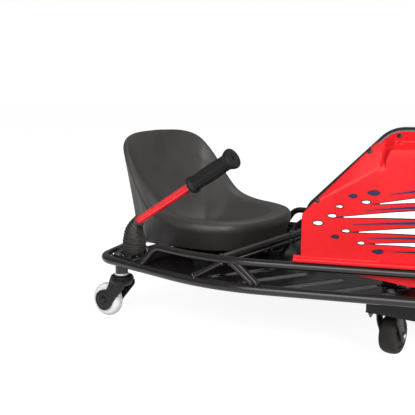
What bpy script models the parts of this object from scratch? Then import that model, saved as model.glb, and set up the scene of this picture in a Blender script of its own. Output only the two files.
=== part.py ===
# Electric drift kart, in metres: +X forward, +Y to the driver's left, +Z up.
# The origin lies on the ground, midway between the foremost and rearmost points.
# Stations along the kart are measured ahead of the drift shaft, which crosses it between the casters.

from math import atan2, cos, hypot, pi, radians, sin, sqrt, tan

import bmesh
import bpy
from mathutils import Quaternion, Vector

# Overall sizes
frameLength = 1.0615
frameWidth = 0.673
seatOverhang = 0.0135
shaftFromRear = 0.1175

# Running and seating clearances
seatGap = 0.0003
runGap = 0.0004

# Frame tubes
railRadius = 0.0095
railHeight = 0.137
upperRadius = 0.008
upperHeight = 0.185
upperInset = 0.014
upperFoot = 0.082
upperBend = 0.120
braceRadius = 0.006
braces = ((0.241, 0.309), (0.370, 0.314), (0.380, 0.330))
rearTubeAt = 0.040
dashTubeAt = 0.292
noseTubesAt = (0.710, 0.850)

# Deck pan and its pressed beads
panTop = 0.130
panSheet = 0.002
panRear = 0.100
panFront = 0.660
beadStations = (0.304, 0.381, 0.464, 0.538, 0.605)
beadInner = 0.125
beadLength = 0.150
beadSlant = radians(28)
beadWidth = 0.016
beadRise = 0.0035
beadMargin = 0.020

# Drift shaft, bar, grip and boot
shaftRadius = 0.011
shaftHeight = 0.140
pivotAcross = 0.215
pivotSheet = 0.006
bushWall = 0.003
barAcross = -0.255
barRadius = 0.0095
barRise = 0.036
barBend = 0.050
barLean = 0.018
barSlope = radians(31.3)
barReach = 0.300
gripLength = 0.122
gripRadius = 0.0155
gripRibs = 8
bootPleats = 14
bootFoot = 0.1585
bootEnd = 0.0352
bootShift = 0.0125
bootLow = 0.0270
bootHigh = 0.0125
bootDepth = 0.0022
bootBore = barRadius + 0.0009

# Rear casters
casterAcross = 0.275
stemRadius = 0.012
casterRadius = 0.038
casterHalf = 0.0135
casterTrail = 0.044
forkSheet = 0.003
crownTop = 0.0927
crownRadius = 0.0255
capRadius = 0.023

# Seat
seatBase = 0.154
seatWall = 0.004
seatLip = 0.018
bowlLow = (0.030, 0.176)
bowlPower = 2.5
bossAcross = 0.055
bossStations = (0.020, 0.120)
bossRadius = 0.012
seatStrap = 0.003

# Fairing and the hoop behind its edge
fairingFoot = 0.440
fairingRear = 0.454
fairingTop = 0.439
fairingSheet = 0.003
fairingLean = tan(radians(22))
fairingSeam = 0.790
creaseStart = (0.460, 0.297)
creaseSlope = 0.63
creaseLevel = 0.391
creaseStep = (0.590, 0.604)
creaseTop = 0.409
skirtLow = 0.158
hoopRadius = 0.008
hoopDrop = 0.003
hoopTilt = radians(28)
hoopLegAt = 0.466

# Drive unit and steering
steerAt = 0.780
columnRadius = 0.014
columnTop = 0.545
wheelRadius = 0.070
tyreHalf = 0.022
turretTop = 0.173
turretSheet = 0.005
forkHalf = 0.038
motorBehind = 0.086
motorHeight = 0.132
motorRadius = 0.032
chainAcross = 0.030
chainPitch = 0.0127
sprocketTeeth = 22
pinionTeeth = 7
bearingPlateTop = 0.1993
rimRadius = 0.140
rimTube = 0.013
rimHeight = 0.562

# Front anti-tip casters
tipAt = 0.584
tipAcross = 0.160
tipTrail = 0.020
tipRadius = 0.038
tipHalf = 0.0165
tipAxle = 0.045
hoodLow = 0.096
hoodSheet = 0.003

# Battery tray and batteries
batterySize = (0.151, 0.094, 0.065)
trayRear = 0.102
traySheet = 0.0015
controllerSize = (0.090, 0.060, 0.026)

shaftX = -(frameLength + seatOverhang) / 2 + seatOverhang + shaftFromRear
up = Vector((0, 0, 1))


def at(ahead, left, height):
    return Vector((shaftX + ahead, left, height))


# Materials

finishes = {
    "frame paint": ((0.012, 0.012, 0.013), 0.25, 0.0),
    "seat plastic": ((0.045, 0.043, 0.042), 0.55, 0.0),
    "red gloss": ((0.80, 0.010, 0.018), 0.12, 0.0),
    "red paint": ((0.78, 0.012, 0.020), 0.2, 0.0),
    "black rubber": ((0.018, 0.018, 0.018), 0.7, 0.0),
    "white wheel": ((0.78, 0.75, 0.72), 0.45, 0.0),
    "black plastic": ((0.020, 0.020, 0.021), 0.45, 0.0),
    "bright steel": ((0.70, 0.70, 0.70), 0.25, 1.0),
    "aluminium": ((0.60, 0.61, 0.62), 0.35, 1.0),
}


def material(name):
    found = bpy.data.materials.get(name)
    if found:
        return found
    colour, roughness, metallic = finishes[name]
    made = bpy.data.materials.new(name)
    made.use_nodes = True
    shader = made.node_tree.nodes["Principled BSDF"]
    shader.inputs["Base Color"].default_value = (*colour, 1)
    shader.inputs["Roughness"].default_value = roughness
    shader.inputs["Metallic"].default_value = metallic
    return made


# Solids, as meshes under construction

def loft(rings, closed=False):
    mesh = bmesh.new()
    rows = [[mesh.verts.new(point) for point in ring] for ring in rings]
    pairs = list(zip(rows, rows[1:]))
    if closed:
        pairs.append((rows[-1], rows[0]))
    for low, high in pairs:
        for k in range(len(low)):
            n = (k + 1) % len(low)
            mesh.faces.new((low[k], low[n], high[n], high[k]))
    if not closed:
        mesh.faces.new(rows[0])
        mesh.faces.new(rows[-1][::-1])
    bmesh.ops.recalc_face_normals(mesh, faces=mesh.faces)
    return mesh


def turned(profile, centre, axis=up, sides=20, closed=False):
    # Revolves (radius, height) pairs about an axis through the centre.
    turn = up.rotation_difference(Vector(axis))
    rings = []
    for radius, height in profile:
        ring = []
        for k in range(sides):
            angle = 2 * pi * (k + 0.5) / sides
            ring.append(centre + turn @ Vector((radius * cos(angle), radius * sin(angle), height)))
        rings.append(ring)
    return loft(rings, closed)


def rod(start, end, radius, sides=14):
    axis = end - start
    return turned([(radius, 0), (radius, axis.length)], start, axis, sides)


def sweep(points, radius, sides=10, closed=False):
    # A round tube along a route; the radius may be one value or one for each point.
    radii = radius if isinstance(radius, (list, tuple)) else [radius] * len(points)
    rings = []
    across = None
    for k, point in enumerate(points):
        before = points[k - 1] if k or closed else point
        after = points[(k + 1) % len(points)] if k < len(points) - 1 or closed else point
        along = (after - before).normalized()
        if across is None:
            across = up.cross(along) if abs(along.z) < 0.9 else Vector((0, 1, 0))
        across = (across - across.project(along)).normalized()
        other = along.cross(across)
        ring = []
        for j in range(sides):
            angle = 2 * pi * (j + 0.5) / sides
            ring.append(point + radii[k] * (cos(angle) * across + sin(angle) * other))
        rings.append(ring)
    return loft(rings, closed)


def prism(outline, depth):
    return loft([outline, [point + depth for point in outline]])


def box(low, high, edge=0.0):
    x, y, z = low
    outline = [Vector((x, y, z)), Vector((high.x, y, z)), Vector((high.x, high.y, z)), Vector((x, high.y, z))]
    mesh = prism(outline, up * (high.z - z))
    if edge:
        bmesh.ops.bevel(mesh, geom=mesh.edges[:], offset=edge, segments=1, affect="EDGES")
    return mesh


def merged(parts):
    # Several separate solids in one mesh, for one cut or one weld.
    whole = parts[0]
    for part in parts[1:]:
        held = bpy.data.meshes.new("held")
        part.to_mesh(held)
        whole.from_mesh(held)
        bpy.data.meshes.remove(held)
    return whole


def mirrored(mesh):
    copy = mesh.copy()
    bmesh.ops.scale(copy, vec=(1, -1, 1), verts=copy.verts)
    bmesh.ops.reverse_faces(copy, faces=copy.faces)
    return copy


# Objects

def piece(name, mesh, finish, parent=None):
    data = bpy.data.meshes.new(name)
    mesh.to_mesh(data)
    mesh.free()
    data.materials.append(material(finish))
    made = bpy.data.objects.new(name, data)
    bpy.context.scene.collection.objects.link(made)
    hang(made, parent)
    smooth(data)
    return made


def smooth(data):
    data.shade_smooth()
    data.set_sharp_from_angle(angle=radians(35))


def hang(made, parent):
    if parent:
        bpy.context.view_layer.update()
        made.parent = parent
        made.matrix_parent_inverse = parent.matrix_world.inverted()


def pivot(name, place, parent=None):
    made = bpy.data.objects.new(name, None)
    made.empty_display_size = 0.03
    bpy.context.scene.collection.objects.link(made)
    made.location = place
    hang(made, parent)
    return made


def combine(made, mesh, operation):
    data = bpy.data.meshes.new("tool")
    mesh.to_mesh(data)
    tool = bpy.data.objects.new("tool", data)
    bpy.context.scene.collection.objects.link(tool)
    change = made.modifiers.new("change", "BOOLEAN")
    change.operation = operation
    change.solver = "EXACT"
    change.object = tool
    bpy.context.view_layer.update()
    ready = made.evaluated_get(bpy.context.evaluated_depsgraph_get())
    result = bpy.data.meshes.new_from_object(ready)
    made.modifiers.clear()
    old = made.data
    name = old.name
    made.data = result
    bpy.data.objects.remove(tool)
    bpy.data.meshes.remove(data)
    bpy.data.meshes.remove(old)
    result.name = name
    smooth(result)


def weld(made, mesh):
    combine(made, mesh, "UNION")


def cut(made, mesh):
    combine(made, mesh, "DIFFERENCE")


# Routes

def filleted(corners, closed=False, step=radians(12)):
    # Corner points with a radius each become a route of straight runs and arcs.
    route = []
    for k, (corner, radius) in enumerate(corners):
        if not radius or (not closed and k in (0, len(corners) - 1)):
            route.append(corner)
            continue
        back = (corners[k - 1][0] - corner).normalized()
        on = (corners[(k + 1) % len(corners)][0] - corner).normalized()
        turn = pi - back.angle(on)
        centre = corner + (back + on).normalized() * radius / cos(turn / 2)
        first = corner + back * radius * tan(turn / 2) - centre
        axis = first.cross(on)
        count = max(2, round(turn / step))
        for j in range(count + 1):
            route.append(centre + Quaternion(axis, turn * j / count) @ first)
    return route


def smoothed(points, count):
    # A Catmull-Rom curve through the points, with an equal number of steps in each span.
    curve = []
    ends = [2 * points[0] - points[1], *points, 2 * points[-1] - points[-2]]
    for a, b, c, d in zip(ends, ends[1:], ends[2:], ends[3:]):
        for k in range(count):
            t = k / count
            curve.append(
                0.5 * (2 * b + (c - a) * t + (2 * a - 5 * b + 4 * c - d) * t * t
                       + (3 * b - a - 3 * c + d) * t ** 3)
            )
    curve.append(points[-1])
    return curve


def halfRail():
    # The lower rail's centreline in plan, from the middle of the tail to the middle of the nose.
    tail = railRadius - shaftFromRear
    nose = tail + frameLength - 2 * railRadius
    wide = frameWidth / 2 - railRadius + 0.0115
    corners = [
        (Vector((tail, 0, 0)), 0.8),
        (Vector((tail + 0.011, wide - 0.210, 0)), 0.5),
        (Vector((tail + 0.058, wide - 0.048, 0)), 0.06),
        (Vector((tail + 0.398, wide, 0)), 0.45),
        (Vector((nose, wide - 0.227, 0)), 0.15),
    ]
    other = [(Vector((corner.x, -corner.y, 0)), radius) for corner, radius in corners[:0:-1]]
    loop = filleted(corners + other, closed=True)
    half = [point for point in loop if point.y > 1e-6]
    start = [Vector((loop[1].x if abs(loop[1].y) < 1e-6 else loop[0].x, 0, 0))]
    return start + half + [Vector((nose, 0, 0))]


rail = halfRail()


def normals(route):
    found = []
    for k, point in enumerate(route):
        before = route[max(k - 1, 0)]
        after = route[min(k + 1, len(route) - 1)]
        along = (after - before).normalized()
        found.append(Vector((-along.y, along.x, 0)))
    found[0] = Vector((-1, 0, 0))
    found[-1] = Vector((1, 0, 0))
    return found


railNormals = normals(rail)


def onRail(station):
    # The point and outward normal of the left half rail at a station.
    for a, b, m, n in zip(rail, rail[1:], railNormals, railNormals[1:]):
        if a.x <= station <= b.x and b.x > a.x:
            t = (station - a.x) / (b.x - a.x)
            return a.lerp(b, t), m.lerp(n, t).normalized()
    return rail[-1], railNormals[-1]


def tailAt(across):
    # The station of the tail's rail at a distance from the middle.
    for a, b in zip(rail, rail[1:]):
        if a.y <= across <= b.y:
            return a.x + (b.x - a.x) * (across - a.y) / (b.y - a.y)


def halfWidth(station, inset=0.0):
    point, outward = onRail(station)
    return point.y - inset * outward.y


def beside(station, inset, height, side=1):
    # A point level with the rail at a station, moved inward by the inset.
    point, outward = onRail(station)
    point = point - outward * inset
    return at(point.x, side * point.y, height)


def alongNose(start, inset, height):
    # The route round the nose, from a station on the left side to the same one on the right.
    left = [beside(start, inset, height)]
    for point, outward in zip(rail, railNormals):
        moved = point - outward * inset
        if point.x > start + 0.004 and point.y > 0:
            left.append(at(moved.x, moved.y, height))
    tip = rail[-1].x - inset
    right = [Vector((p.x, -p.y, p.z)) for p in left[::-1]]
    return left + [at(tip, 0, height)] + right


def lowerRoute():
    left = [at(p.x, p.y, railHeight) for p in rail]
    right = [Vector((p.x, -p.y, p.z)) for p in left[-2:0:-1]]
    return left + right


def acrossTube(station, height, radius, inset=0.0, sides=10):
    half = halfWidth(station, inset)
    return rod(at(station, -half, height), at(station, half, height), radius, sides)


def upperRoute():
    side = alongNose(upperBend + 0.06, upperInset, upperHeight)
    foot = beside(upperFoot, 0, railHeight)
    bend = beside(upperBend, upperInset, upperHeight)
    lead = filleted([(foot, 0), (bend, 0.035), (side[0], 0)])
    trail = [Vector((p.x, -p.y, p.z)) for p in lead[::-1]]
    return lead[:-1] + side + trail[1:]


# Clearance solids: what meets a rail is coped to it with these

def railClearance():
    loop = sweep(lowerRoute(), railRadius + seatGap, closed=True)
    tube = acrossTube(rearTubeAt, railHeight, railRadius + seatGap, inset=0.003)
    return loop, tube


def upperClearance():
    return sweep(upperRoute(), upperRadius + seatGap)


# Frame

def buildLowerRail():
    made = piece("lower_rail", sweep(lowerRoute(), railRadius, closed=True), "frame paint")
    weld(made, acrossTube(rearTubeAt, railHeight, railRadius))


def buildUpperRail():
    made = piece("upper_rail", sweep(upperRoute(), upperRadius), "frame paint")
    for station in (dashTubeAt, *noseTubesAt):
        weld(made, acrossTube(station, upperHeight, upperRadius, upperInset))
    for low, high in braces:
        for side in (1, -1):
            foot = beside(low, 0, railHeight, side)
            head = beside(high, upperInset, upperHeight, side)
            weld(made, rod(foot, head, braceRadius, 8))
    cut(made, railClearance()[0])


def bead(station, side, width, low, high):
    # A long pressed bead with round ends, slanting inward and forward.
    inner = Vector((station, beadInner))
    back = Vector((-sin(beadSlant), cos(beadSlant)))
    length = beadLength
    while halfWidth((inner + back * length).x) - (inner + back * length).y < beadMargin + railRadius:
        length -= 0.005
    rings = []
    for height, half in ((low, width / 2), (high, width / 2 - beadRise / 2)):
        ring = []
        for end, start in ((inner, -pi / 2), (inner + back * length, pi / 2)):
            for k in range(4):
                angle = start + pi * k / 3 - beadSlant
                spot = end + half * Vector((cos(angle), sin(angle)))
                ring.append(at(spot.x, side * spot.y, height))
        rings.append(ring)
    return loft(rings)


def buildDeckPan():
    inset = sqrt((railRadius + seatGap) ** 2 - (railHeight - panTop) ** 2)
    turretOpening = 0.146
    side = [beside(panRear, inset, 0)]
    for point, outward in zip(rail, railNormals):
        if panRear < point.x < panFront and point.y > 0:
            side.append(beside(point.x, inset, 0))
    side.append(beside(panFront, inset, 0))
    reach = sqrt(turretOpening ** 2 - (steerAt - panFront) ** 2)
    start = atan2(reach, panFront - steerAt)
    arc = []
    for k in range(11):
        angle = start + 2 * (pi - start) * k / 10
        arc.append(at(steerAt + turretOpening * cos(angle), turretOpening * sin(angle), 0))
    outline = side + arc + [Vector((p.x, -p.y, 0)) for p in side[::-1]]
    outline = [Vector((p.x, p.y, panTop - panSheet)) for p in outline]
    made = piece("deck_pan", prism(outline, up * panSheet), "frame paint")
    pressed = [(s, side) for s in beadStations for side in (1, -1)]
    middle = panTop - panSheet / 2
    weld(made, merged([bead(s, side, beadWidth, middle, panTop + beadRise) for s, side in pressed]))
    hollow = beadWidth - 2 * panSheet
    top = panTop + beadRise - panSheet
    cut(made, merged([bead(s, side, hollow, panTop - 2 * panSheet, top) for s, side in pressed]))


# Seat

seatRim = [
    (0.212, 0.000, 0.215), (0.203, 0.085, 0.217), (0.178, 0.136, 0.220), (0.130, 0.161, 0.223),
    (0.070, 0.168, 0.228), (0.015, 0.171, 0.245), (-0.024, 0.169, 0.286), (-0.052, 0.166, 0.328),
    (-0.080, 0.158, 0.368), (-0.100, 0.138, 0.394), (-0.115, 0.090, 0.408), (-0.121, 0.000, 0.412),
]


def rimLoop():
    left = smoothed([Vector(p) for p in seatRim], 2)
    right = [Vector((p.x, -p.y, p.z)) for p in left[-2:0:-1]]
    return left + right


def bowlHeight(ahead, across):
    # Height of the bowl's surface over a point under the seat.
    angle = atan2(across, ahead - bowlLow[0])
    edge = min(rimLoop(), key=lambda p: abs(atan2(p.y, p.x - bowlLow[0]) - angle))
    share = hypot(ahead - bowlLow[0], across) / hypot(edge.x - bowlLow[0], edge.y)
    return bowlLow[1] + (edge.z - bowlLow[1]) * share ** bowlPower


def buildSeat():
    rim = rimLoop()
    centre = Vector((bowlLow[0], 0, 0))
    flat = [Vector((p.x, p.y, 0)) - centre for p in rim]
    outward = []
    for k, point in enumerate(rim):
        along = rim[(k + 1) % len(rim)] - rim[k - 1]
        outward.append(Vector((along.y, -along.x, 0)).normalized())
    # The lip is full at the front and sides and thinner on top of the backrest.
    back = [min(1, max(0, (p.z - 0.23) / 0.15)) for p in rim]
    lip = [seatLip - 0.008 * b for b in back]

    def bowl(share):
        return [
            at(centre.x + f.x * share, f.y * share, bowlLow[1] + (p.z - bowlLow[1]) * share ** bowlPower)
            for f, p in zip(flat, rim)
        ]

    def rolled(out, down):
        return [at(p.x, p.y, p.z) + o * w * out - up * w * down for p, o, w in zip(rim, outward, lip)]

    def foot(inset, height):
        ring = []
        for p, o in zip(rim, outward):
            ahead = max(p.x, -0.060)
            across = p.y * (0.93 if p.x > -0.03 else 0.86)
            ring.append(at(ahead, across, height) - o * inset + o * 0.006)
        return ring

    def between(low, high, share, shift):
        return [a.lerp(b, share) - o * shift for a, b, o in zip(low, high, outward)]

    shares = (0.2, 0.45, 0.66, 0.83, 0.94, 1.0)
    rings = [bowl(s) for s in shares]
    rings += [rolled(0.45, 0.08), rolled(0.85, 0.4), rolled(1.0, 0.95)]
    edge = rings[-1]
    base = foot(0.0, seatBase)
    rings += [between(edge, base, 0.5, 0.0), base]
    inner = foot(seatWall, seatBase)
    rings += [inner, between(edge, base, 0.06, seatWall)]
    under = []
    for share in shares[-2::-1]:
        surface = bowl(share)
        near = bowl(share + 0.02)
        ring = []
        for k, point in enumerate(surface):
            rise = near[k] - point
            turn = surface[(k + 1) % len(surface)] - surface[k - 1]
            ring.append(point + seatWall * turn.cross(rise).normalized())
        under.append(ring)
    rings += under
    made = piece("seat_shell", loft(rings), "seat plastic")
    for station in bossStations:
        for side in (1, -1):
            across = side * bossAcross
            top = bowlHeight(station, abs(across)) - seatWall / 2
            low = railHeight + railRadius + 2 * seatGap + seatStrap
            weld(made, rod(at(station, across, low), at(station, across, top), bossRadius, 14))


def buildSeatSupport():
    low = railHeight + railRadius + seatGap
    radius = 0.005
    station = 0.247
    made = piece("seat_support", acrossTube(station, low + radius, radius, sides=10), "frame paint")
    braceFoot, braceHead = braces[0]
    for side in (1, -1):
        foot = beside(braceFoot, 0, railHeight, side)
        head = beside(braceHead, upperInset, upperHeight, side)
        cut(made, rod(foot, head, braceRadius + seatGap, 8))
        near = side * bossAcross - bossRadius
        start = at(rearTubeAt - railRadius, near, low)
        strap = box(start, at(station, near + 2 * bossRadius, low + seatStrap))
        weld(made, strap)


# Drift mechanism

def buildPivots():
    bore = shaftRadius + bushWall + seatGap
    loop, tube = railClearance()
    for name, side in (("right", -1), ("left", 1)):
        near = side * pivotAcross - pivotSheet / 2
        rear = tailAt(pivotAcross)
        outline = [
            at(rear, near, railHeight - 0.007), at(rearTubeAt, near, railHeight - 0.007),
            at(rearTubeAt, near, railHeight + 0.007), at(rear, near, railHeight + 0.007),
        ]
        made = piece("pivot_bracket_" + name, prism(outline, Vector((0, pivotSheet, 0))), "frame paint")
        start = at(0, near, shaftHeight)
        end = start + Vector((0, pivotSheet, 0))
        weld(made, rod(start, end, bore + 0.008, 20))
        reach = Vector((0, 0.01, 0))
        cut(made, rod(start - reach, end + reach, bore, 18))
        cut(made, loop)
        cut(made, tube)
        # The flanged bush between bracket and shaft
        half = pivotSheet / 2 + 0.003
        axis = Vector((0, 1, 0))
        hole = shaftRadius + seatGap
        outside = shaftRadius + bushWall
        flange = outside + 0.003
        inner = pivotSheet / 2 + seatGap
        profile = [
            (hole, -half), (flange, -half), (flange, -inner),
            (outside, -inner), (outside, half), (hole, half),
        ]
        middle = at(0, side * pivotAcross, shaftHeight)
        bush = turned(profile, middle, axis * side * -1, 14, closed=True)
        piece("pivot_bush_" + name, bush, "black plastic")


def barRoute():
    # The bar's centreline from the shaft up to the end of the red tube under the grip.
    root = at(0, barAcross, shaftHeight)
    slope = Vector((cos(barSlope), 0, sin(barSlope)))
    upright = root + up * (barRise + barBend * tan((pi / 2 - barSlope) / 2))
    corner = upright + slope * barLean / slope.x
    end = upright + slope * (barReach + barBend * tan((pi / 2 - barSlope) / 2) - 0.004)
    return filleted([(root, 0), (corner, barBend), (end, 0)], step=radians(10)), slope


def buildDriftBar(parent):
    half = halfWidth(0) - railRadius - 0.0025
    ends = at(0, -half, shaftHeight), at(0, half, shaftHeight)
    piece("drift_shaft", rod(*ends, shaftRadius, 20), "bright steel", parent)
    route, slope = barRoute()
    made = piece("drift_bar", sweep(route, barRadius, 12), "red paint", parent)
    clamp = at(0, barAcross, shaftHeight)
    reach = Vector((0, 0.012, 0))
    clampOuter = Vector((0, 0.0075, 0))
    weld(made, rod(clamp - clampOuter, clamp + reach, shaftRadius + 0.004, 18))
    cut(made, rod(clamp - reach * 2, clamp + reach * 2, shaftRadius + seatGap, 20))
    # The grip: a flange, ribs and a wider end flange with a small hole in it
    tip = route[-1]
    start = tip - slope * (gripLength - 0.012)
    bore = barRadius + seatGap
    profile = [(bore, 0), (gripRadius + 0.004, 0), (gripRadius + 0.005, 0.002), (gripRadius + 0.004, 0.006)]
    body = gripLength - 0.020
    for k in range(gripRibs):
        low = 0.009 + body * k / gripRibs
        high = low + body / gripRibs
        profile += [(gripRadius - 0.0012, low), (gripRadius, low + 0.002), (gripRadius, high - 0.002)]
    profile += [(0.0215, gripLength - 0.008), (0.0225, gripLength - 0.005), (0.0215, gripLength)]
    profile += [(0.004, gripLength), (0.004, gripLength - 0.008), (bore, gripLength - 0.008)]
    piece("drift_grip", turned(profile, start, slope, 12, closed=True), "black rubber", parent)


def buildBoot(parent):
    # Bellows round the bar's root: wide pleats ahead of it that shrink and turn towards the bar.
    route, slope = barRoute()
    dense = []
    for a, b in zip(route, route[1:]):
        steps = max(1, round((b - a).length / 0.001))
        dense += [a.lerp(b, k / steps) for k in range(steps)]
    run = [p for p in dense if p.z >= bootFoot and p.x <= shaftX + bootEnd]
    count = 2 * bootPleats + 1
    across = Vector((0, 1, 0))
    outer = []
    inner = []
    for k in range(count):
        share = k / (count - 1)
        on = run[round((len(run) - 1) * share)]
        bulge = min(1, share / 0.4)
        size = (bootLow + (bootHigh - bootLow) * share ** 3) * (0.72 + 0.28 * bulge)
        ridge = size if k % 2 else size - bootDepth * (1 - 0.4 * share)
        other = up.lerp(slope, share ** 2).normalized().cross(across)
        middle = on - other * bootShift * (1 - share ** 2) * (0.2 + 0.8 * bulge)
        outer.append([middle + ridge * turnOf(j, across, other) for j in range(12)])
        if k % 4 == 0:
            inner.append([on + bootBore * turnOf(j, across, other) for j in range(12)])
    piece("drift_boot", loft(outer + inner[::-1], closed=True), "black rubber", parent)


def turnOf(j, across, other, sides=12):
    angle = 2 * pi * (j + 0.5) / sides
    return cos(angle) * across + sin(angle) * other


# Wheels that carry the kart are drawn so that their flats, not their corners, reach the ground

wheelSides = 24


def flatRadius(radius):
    return radius / cos(pi / wheelSides)


# Rear casters

def buildCaster(name, side, driftPivot):
    across = side * casterAcross
    foot = at(0, across, 0)
    # The mount: a split hub on the shaft's end with the stem under it
    reach = Vector((0, 0.0095, 0))
    hub = at(0, across, shaftHeight)
    outside = rod(hub - reach, hub + reach, shaftRadius + 0.006, 20)
    made = piece("caster_mount_" + name, outside, "frame paint", driftPivot)
    raceTop = crownTop + seatGap + 0.009
    ringTop = raceTop + seatGap + 0.002
    weld(made, rod(foot + up * (ringTop + seatGap), hub, stemRadius, 20))
    cut(made, rod(hub - reach * 2, hub + reach * 2, shaftRadius + seatGap, 20))
    bright = rod(foot + up * (raceTop + seatGap), foot + up * ringTop, 0.0148, 20)
    piece("caster_ring_" + name, bright, "bright steel", driftPivot)
    low = crownTop + seatGap
    profile = [(0.0265, low), (0.0270, low + 0.002), (0.0240, low + 0.0075), (0.0220, raceTop)]
    piece("caster_race_" + name, turned(profile, foot, up, 20), "black plastic", driftPivot)
    # The swivelling fork: crown and two arms that end in round caps over the wheel's hub
    swivel = pivot("caster_swivel_" + name, foot + up * crownTop, driftPivot)
    crown = [(0.0235, crownTop - 0.008), (crownRadius, crownTop - 0.006), (crownRadius, crownTop)]
    fork = piece("caster_fork_" + name, turned(crown, foot, up, 20), "black plastic", swivel)
    inner = casterHalf + 0.0018
    axle = Vector((shaftX - casterTrail, across, casterRadius))
    for hand in (1, -1):
        near = across + hand * inner
        start = Vector((0, near - across, 0))
        outline = []
        for k in range(10):
            angle = radians(-38) - radians(225) * k / 9
            spot = axle + capRadius * Vector((cos(angle), 0, sin(angle)))
            outline.append(Vector((spot.x, near, spot.z)))
        outline += [at(-0.023, near, crownTop - 0.010), at(-0.023, near, crownTop - 0.001)]
        outline += [at(0.0225, near, crownTop - 0.001), at(0.0225, near, crownTop - 0.009)]
        weld(fork, prism(outline, Vector((0, hand * forkSheet, 0))))
    wide = Vector((0, inner + forkSheet + 0.004, 0))
    cut(fork, rod(axle - wide, axle + wide, 0.004 + seatGap, 14))
    spin = pivot("caster_axle_pivot_" + name, axle, swivel)
    bore = 0.004 + seatGap
    rim = flatRadius(casterRadius)
    face = casterHalf
    profile = [(bore, -face), (rim - 0.006, -face), (rim - 0.0015, -face + 0.003), (rim, -face + 0.007),
               (rim, face - 0.007), (rim - 0.0015, face - 0.003), (rim - 0.006, face), (bore, face)]
    wheel = turned(profile, axle, Vector((0, 1, 0)), wheelSides, closed=True)
    piece("caster_wheel_" + name, wheel, "white wheel", spin)
    # The axle bolt, with a head outside each arm
    head = inner + forkSheet + seatGap
    profile = [(0.0060, -head - 0.003), (0.0065, -head), (0.004, -head),
               (0.004, head), (0.0065, head), (0.0060, head + 0.003)]
    piece("caster_axle_" + name, turned(profile, axle, Vector((0, 1, 0)), 10), "black plastic", swivel)
    return swivel


# Fairing and hoop

def edgeOutline(shift=0.0):
    # The fairing's rear and top edge in side view, as (station, height), moved outward by the shift.
    lowCorner = Vector((fairingRear - shift, 0, 0.2855 + shift * 0.62))
    topCorner = Vector((0.598 - shift * 0.45, 0, fairingTop + shift))
    far = Vector((0.700, 0, fairingTop + shift))
    corners = [
        (Vector((fairingRear - shift, 0, 0.24)), 0), (lowCorner, 0.012 + shift),
        (topCorner, 0.055 + shift), (far, 0),
    ]
    return filleted(corners, step=radians(10))


def edgeHeight(station, outline):
    for a, b in zip(outline, outline[1:]):
        if a.x <= station <= b.x and b.x - a.x > 1e-6:
            return a.z + (b.z - a.z) * (station - a.x) / (b.x - a.x)
    return fairingTop if station > fairingRear else 0.206


def creaseLine(station):
    # The long crease, which sets how far the edge above it leans in.
    return min(creaseStart[1] + creaseSlope * (station - creaseStart[0]), creaseLevel)


def creaseHeight(station, top):
    # The crease itself, which steps up to its level run along the nose.
    low, high = creaseStep
    step = min(1, max(0, (station - low) / (high - low)))
    height = creaseLine(station) + step * (creaseTop - creaseLine(station))
    return max(0.2045, min(height, top - 0.002))


def fairingSection(point, outward, station, top):
    # One section of the pressed shell: skirt, flange over the rail, band, wall, crease and leaning top.
    skirt = min(upperHeight + 0.003, max(skirtLow, 0.186 - 0.19 * (station - 0.490)))
    seat = upperHeight + upperRadius + seatGap
    inner = -upperRadius - seatGap - 0.0012
    crease = creaseHeight(station, top)
    lean = max(0, top - creaseLine(station)) * fairingLean
    outside = [
        (inner, skirt), (inner, seat), (0.006, seat), (0.006, seat + 0.007), (0.002, seat + 0.010),
        (0.004, crease), (0.004 - lean, top),
    ]
    sheet = fairingSheet
    inside = [
        (0.004 - lean - sheet, top), (0.004 - sheet, crease - 0.001), (0.002 - sheet, seat + 0.010),
        (0.003, seat + sheet * 0.9 + 0.002), (inner - sheet * 0.4, seat + sheet), (inner - sheet, skirt),
    ]
    base = point - outward * upperInset
    ring = []
    for out, height in outside + inside:
        spot = base + outward * out
        ring.append(at(spot.x, spot.y, height))
    return ring


def buildFairing():
    outline = edgeOutline()
    stations = [fairingFoot, fairingFoot + 0.012, fairingRear - 0.0006, fairingRear]
    stations += [p.x for p in outline if fairingRear + 0.001 < p.x < 0.66]
    stations += [*creaseStep, 0.66, 0.70, 0.74]
    side = []
    for station in sorted(stations):
        point, outward = onRail(station)
        top = edgeHeight(station, outline) if station >= fairingRear else 0.2065
        side.append(fairingSection(point, outward, station, max(top, 0.2065)))
    seam = onRail(fairingSeam)
    last = fairingSection(*seam, fairingSeam, fairingTop)
    left = loft(side + [last])
    right = mirrored(left)
    nose = []
    start = onRail(fairingSeam + seatGap)
    nose.append(fairingSection(*start, fairingSeam, fairingTop))
    for point, outward in zip(rail, railNormals):
        if point.x > fairingSeam + 0.005 and point.y > 0:
            nose.append(fairingSection(point, outward, point.x, fairingTop))
    middle = fairingSection(rail[-1], railNormals[-1], rail[-1].x, fairingTop)
    other = [[Vector((p.x, -p.y, p.z)) for p in ring] for ring in nose[::-1]]
    nose = loft(nose + [middle] + other)
    hoop = sweep(hoopRoute(), hoopRadius + seatGap)
    for name, mesh in (("left", left), ("right", right), ("nose", nose)):
        made = piece("fairing_" + name, mesh, "red gloss")
        cut(made, hoop)
        station = noseTubesAt[1] if name == "nose" else noseTubesAt[0]
        half = upperRadius + seatGap
        reach = halfWidth(station)
        cut(made, rod(at(station, -reach, upperHeight), at(station, reach, upperHeight), half, 10))
        cut(made, box(at(station - half, -reach, skirtLow - 0.01), at(station + half, reach, upperHeight)))


def hoopInset(station, height):
    # The hoop lies against the inner face of the leaning edge.
    clear = (hoopRadius + seatGap) / cos(hoopTilt) + fairingSheet - 0.004
    return upperInset + clear + max(0, height - creaseLine(station)) * fairingLean


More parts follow.
